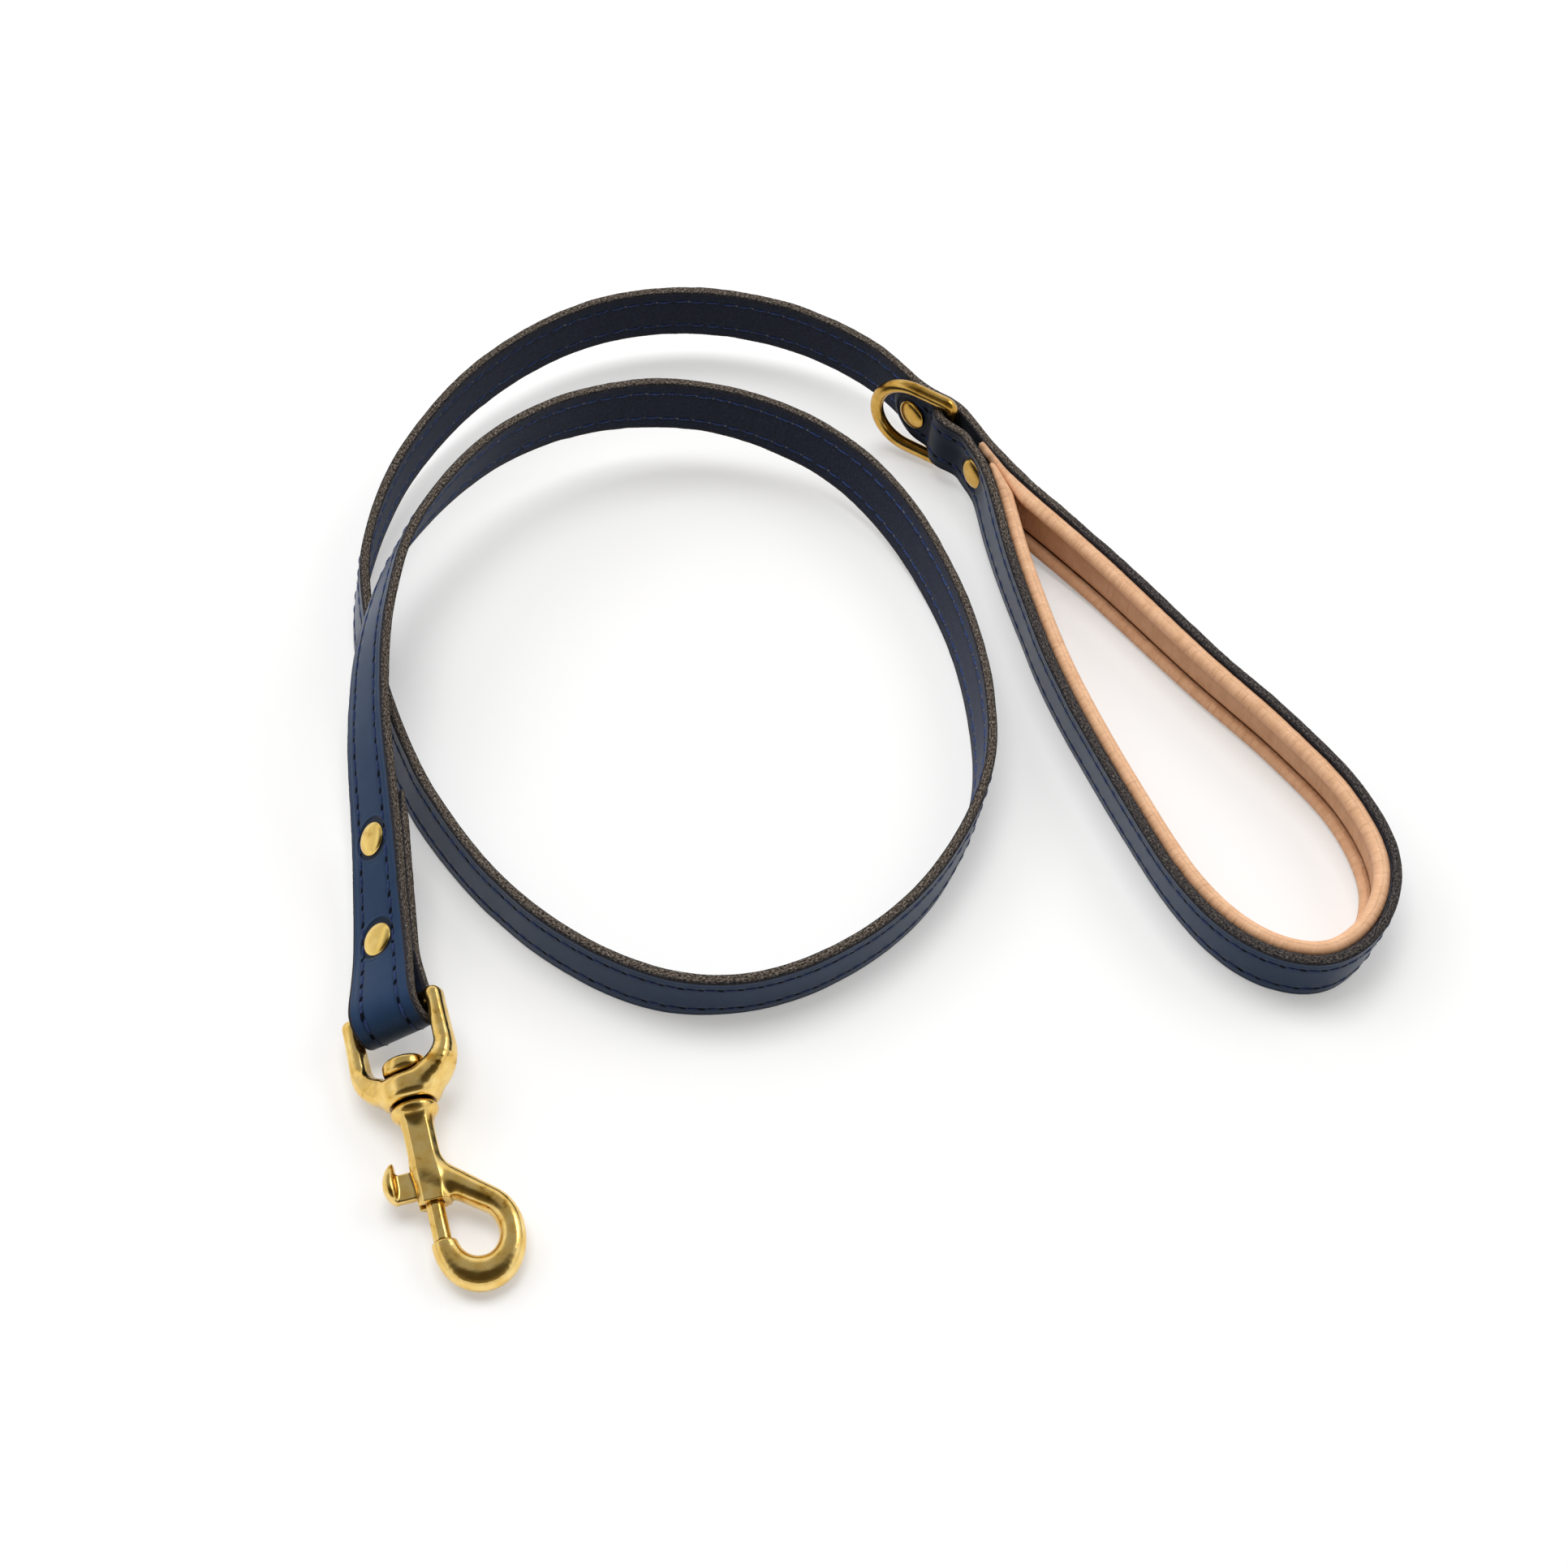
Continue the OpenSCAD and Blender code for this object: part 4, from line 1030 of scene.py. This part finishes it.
def eye_shape(p):
    """A stirrup with a bar, and a neck that is broad towards the hook."""
    length = BASE_TOP + 3.5 - EYE_RISE
    a = np.linspace(0, math.pi, 25)
    arc = np.stack([-EYE_ARM * np.cos(a), length + EYE_RISE * np.sin(a)], 1)
    leg = np.array([[EYE_ARM, length * 0.5], [EYE_ARM, -0.2]])
    line = np.vstack([(leg * [-1, 1])[::-1], arc, leg])
    share = smooth(1.35 - np.abs(np.degrees(a) - 90) / 75)
    wide = np.concatenate([[2.15, 2.2], mix(2.25, 3.7, share), [2.2, 2.15]])
    deep = np.concatenate([[2.7, 2.8], mix(2.85, 5.3, share), [2.8, 2.7]])
    d = flat_rod(p, line, wide, deep, 2.8)
    d = join(d, rod(p[:, [2, 1, 0]], BAR_D / 2, -ARM_X, ARM_X, 1.2), 1.2)
    d = join(d, rod(p, EYE_NECK_R, BASE_TOP + 0.8, EYE_FACE, 2.0), 1.8)
    # A flat face for the collar, a turned seat for the stud's head, and the stud's bore
    d = np.maximum(d, p[:, 2] - EYE_FACE)
    d = np.maximum(d, -rod(p, HEAD_SEAT_R, BASE_TOP - 8, HEAD_SEAT, 0.3))
    return np.maximum(d, -rod(p, STUD_BORE_R, BASE_TOP - 4, EYE_REACH + 2, 0.1))


def stud_shape(p):
    """A pin with a domed head inside the eye."""
    r = np.hypot(p[:, 0], p[:, 1])
    head = rod(p, HEAD_R, HEAD_LOW, HEAD_TOP, 2.0)
    head = cut(head, p[:, 2] - (HEAD_LOW + HEAD_DOME * r ** 2), 0.8)
    return np.minimum(head, rod(p, STUD_R, BASE_TOP - 2, STUD_END, 0.2))


def hook_bow(p):
    """From inside the shank out to one side, round, and back to the bolt's tip."""
    turn = np.radians(np.concatenate([np.arange(BOW_START, 180, 8), [180]]))
    arc = np.stack([BOW_R + BOW_ACROSS * np.cos(turn), TIP_Z + BOW_ALONG * np.sin(turn)], 1)
    half = HOOK_W / 2 * (1.04 + 0.40 * smooth(1 - np.abs(np.degrees(turn) - BOW_FAT) / BOW_FAT))
    root = np.array([0.0, SHANK_END - 0.38 * SHANK_LONG])
    lead = np.linspace(0, 1, 6)[:-1, None]
    line = np.vstack([mix(root, arc[0], lead), arc])
    wide = np.concatenate([mix(SHANK_W / 2, half[0], lead[:, 0]), half])
    deep = np.full(len(line), HOOK_T / 2)
    bow = flat_rod(p, line, wide, deep, 2.15)
    return cut(bow, block(p, [0, 0, TIP_Z - 6], [4.2, 9, 6], 0.1), 0.5)


def hook_shape(p):
    """Collar, eight-sided shank and bow, with the bolt's bore and the slot for its arm."""
    shank = np.maximum(octagon(p, SHANK_W / 2, 0.22, 1.14), slab(p, SHANK_TOP - 1, SHANK_END))
    d = join(shank, hook_bow(p), 2.2)
    r = np.hypot(p[:, 0], p[:, 1])
    collar = rod(p, COLLAR_R, COLLAR_TOP + 0.5, SHANK_TOP + 0.5, 1.6)
    cone = (r + (p[:, 2] - SHANK_TOP) * CONE_SLOPE - CONE_R) / 1.1
    cone = np.maximum(cone, slab(p, SHANK_TOP - 1, CONE_END))
    d = join(d, join(collar, cone, 1.2), 1.0)
    bore = np.where(p[:, 2] < SHANK_END + 2, rod(p, BOLT_BORE_R, BORE_TOP, 80, 0.1), 99)
    d = np.maximum(d, -bore)
    slot_long = (SHANK_END + 3 - BORE_TOP) / 2
    slot_at = [-SHANK_W / 2, 0, BORE_TOP + slot_long]
    return cut(d, block(p, slot_at, [SHANK_W / 2, SLOT_HALF, slot_long], 0.1), 0.15)


def bolt_shape(p):
    return np.maximum(octagon(p, BOLT_HALF, 0.4), rod(p, BOLT_R, BOLT_TOP, SHANK_END + 10, 0.3))


def thumb_shape(p):
    """An arm from the bolt out through the slot, with a bent pad."""
    arm = block(p, [-4.6, 0, 47.4], [4.6, 1.25, 3.6], 0.35)
    y, z = p[:, 1], p[:, 2] - THUMB_Z
    reach = np.where(z < 0, THUMB_LOW, THUMB_HIGH)
    share = np.clip(np.abs(z) / reach, 0, 1)
    half = THUMB_HALF * np.sqrt(np.clip(1 - share ** THUMB_POWER, 0.004, 1))
    thick = THUMB_THICK * np.clip(1 - share ** 2, 0.01, 1) ** 0.6
    x = p[:, 0] + THUMB_X - np.where(z < 0, LOW_BEND, HIGH_BEND) * (z / reach) ** 2
    pad = (np.abs(y) / half) ** THUMB_POWER + (np.abs(x) / thick) ** THUMB_POWER
    pad = (pad ** (1 / THUMB_POWER) - 1) * np.minimum(half, thick)
    d = join(arm, np.maximum(pad, np.abs(z) - reach), 1.0)
    return np.maximum(d, -rod(p, BOLT_R + 0.04, BOLT_TOP - 3, SHANK_END + 3, 0.05))


def patina_and_shade(points, shape, near):
    """How far each point lies in a crevice, from 0 in the open to 1, which darkens it: patina in the
    hollows, and painted shade.
    """
    outward = unit(slopes(shape, points, 0.05) + 1e-9)
    reaches = (0.5, 1.1, 2.0)
    shut = 0
    for reach in reaches:
        room = np.min([f(points + outward * reach) for f in (shape, *near)], axis=0)
        shut += np.clip(1 - room / reach, 0, 1)
    return 0.85 * smooth((shut / len(reaches) - 0.36) / 0.4)


COARSE_CELL, FINE_CELL = 0.33, 0.3


def cast(name, shape, low, high, cell, roll, body, node_name, near):
    """A cast piece inside a box; near lists the shapes that shade its crevices."""
    points, faces = surface(shape, low, high, cell)
    obj = mesh(name, in_swivel(points, roll), faces, [CAST], body, "cast_brass",
               attributes={"dark": patina_and_shade(points, shape, near)})
    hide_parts(node_name)


cast("eye_casting", eye_shape, (-16, -9, -5), (16, 9, 28), COARSE_CELL, ROLL,
     "eye", "swivel_eye", [stud_shape, hook_shape])
cast("stud_head", stud_shape, (-8, -8, 11), (8, 8, 33), COARSE_CELL, ROLL,
     "hook", "swivel_stud", [eye_shape])
cast("hook_casting", hook_shape, (-9, -9, 24), (24, 9, 80), COARSE_CELL, 0,
     "hook", "hook_body", [eye_shape, thumb_shape])
cast("bolt_pin", bolt_shape, (-4, -4, 42), (4, 4, 65), FINE_CELL, 0,
     "trigger", "trigger_bolt", [hook_shape])
cast("thumb_piece", thumb_shape, (-14, -7, 36), (3, 7, 54), FINE_CELL, 0,
     "trigger", "trigger_thumb", [hook_shape])


# Floor and light; from here on lengths are metres
FLOOR_BOUNCE, FLOOR_GLOW, FLOOR_DROP = (0.6, 0.6, 0.6, 1), 0.33, 0.0002
FLOOR_CENTRE, FLOOR_INNER, FLOOR_FLAT, FLOOR_BEND = 0.01, 0.8, 1.9, 0.6
FLOOR_EDGE = [2.65, 0.95]


def floor_white():
    """White, with a little glow, where it is seen or mirrored, and grey for bounced light."""
    m, tree, shader = material("floor_white", roughness=0.9, specular=0.0)
    pale = ramp(tree, noise(tree, 3, 1), greys((0.0, 0.94), (1.0, 0.96)))
    glow = node(tree, "Emission", Strength=1.0)
    path = node(tree, "LightPath").outputs
    seen = path["Is Camera Ray"]
    for ray in ("Is Glossy Ray", "Is Transmission Ray"):
        seen = node(tree, "Math", seen, path[ray], operation="MAXIMUM").outputs["Value"]
    tone = node(tree, "Mix", data_type="RGBA", Factor=seen, A=FLOOR_BOUNCE, B=pale)
    tree.links.new(tone.outputs["Result"], shader.inputs["Base Color"])
    share = node(tree, "Math", seen, FLOOR_GLOW, operation="MULTIPLY").outputs["Value"]
    both = node(tree, "MixShader", share, shader.outputs["BSDF"], glow.outputs["Emission"])
    tree.links.new(both.outputs["Shader"], tree.nodes["Material Output"].inputs["Surface"])
    return m


def add_floor():
    """A flat round floor with a rim that bends up."""
    a = circle(96)
    bend = np.radians(np.linspace(0, 80, 9))
    rim = np.stack([FLOOR_FLAT + FLOOR_BEND * np.sin(bend), FLOOR_BEND - FLOOR_BEND * np.cos(bend)], 1)
    profile = np.vstack([[[FLOOR_CENTRE, 0], [FLOOR_INNER, 0]], rim, [FLOOR_EDGE]])
    r, z = profile[:, :1], profile[:, 1:] - FLOOR_DROP
    points = np.stack([r * np.cos(a), r * np.sin(a), z + 0 * a], -1)
    faces = grid_faces(len(profile), len(a)).tolist() + [list(range(len(a)))]
    data = bpy.data.meshes.new("floor")
    data.from_pydata(points.reshape(-1, 3).tolist(), [], turned_over(faces))
    data.polygons.foreach_set("use_smooth", np.ones(len(data.polygons), bool))
    data.materials.append(floor_white())
    floor = bpy.data.objects.new("floor", data)
    scene.collection.objects.link(floor)


def add_lamp(name, at, size, power, glossy=True):
    """A rectangle of light that faces the part's origin."""
    data = bpy.data.lights.new(name, "AREA")
    data.shape = "RECTANGLE"
    data.size, data.size_y = size
    data.energy = power
    lamp = bpy.data.objects.new(name, data)
    scene.collection.objects.link(lamp)
    lamp.visible_glossy = glossy
    lamp.location = at
    lamp.rotation_euler = (-Vector(at)).to_track_quat("-Z", "Y").to_euler()


# The world's brightness upwards, and its tint towards the camera's side
UPWARDS = (0, 0, 1)
UP_STOPS = greys((0.0, 0.95), (0.55, 1.05), (0.74, 0.46), (1.0, 0.40))
FRONTWARDS = (0.05, -0.72, 0.69)
FRONT_STOPS = [(0.55, (1, 1, 1)), (0.72, (0.17, 0.14, 0.085))]


def add_world():
    """A pale dome: bright low round the sides, dimmer overhead, dim on the camera's side."""
    world = bpy.data.worlds.new("studio")
    scene.world = world
    world.use_nodes = True
    tree = world.node_tree
    where = node(tree, "TexCoord").outputs["Generated"]
    parts = []
    for axis, stops in ((UPWARDS, UP_STOPS), (FRONTWARDS, FRONT_STOPS)):
        turn = node(tree, "VectorMath", where, axis, operation="DOT_PRODUCT")
        parts.append(ramp(tree, turn.outputs["Value"], stops))
    both = node(tree, "Mix", data_type="RGBA", blend_type="MULTIPLY", Factor=1.0, A=parts[0], B=parts[1])
    tree.links.new(both.outputs["Result"], tree.nodes["Background"].inputs["Color"])


add_floor()
add_world()
add_lamp("top", at=(-0.2, 0.55, 2.2), size=(1.5, 1.2), power=31, glossy=False)
add_lamp("key", at=(-1.25, 0.75, 1.5), size=(0.9, 0.8), power=6, glossy=False)
add_lamp("fill", at=(1.25, 0.65, 1.4), size=(0.9, 0.8), power=6)
scene.view_settings.view_transform = "Standard"
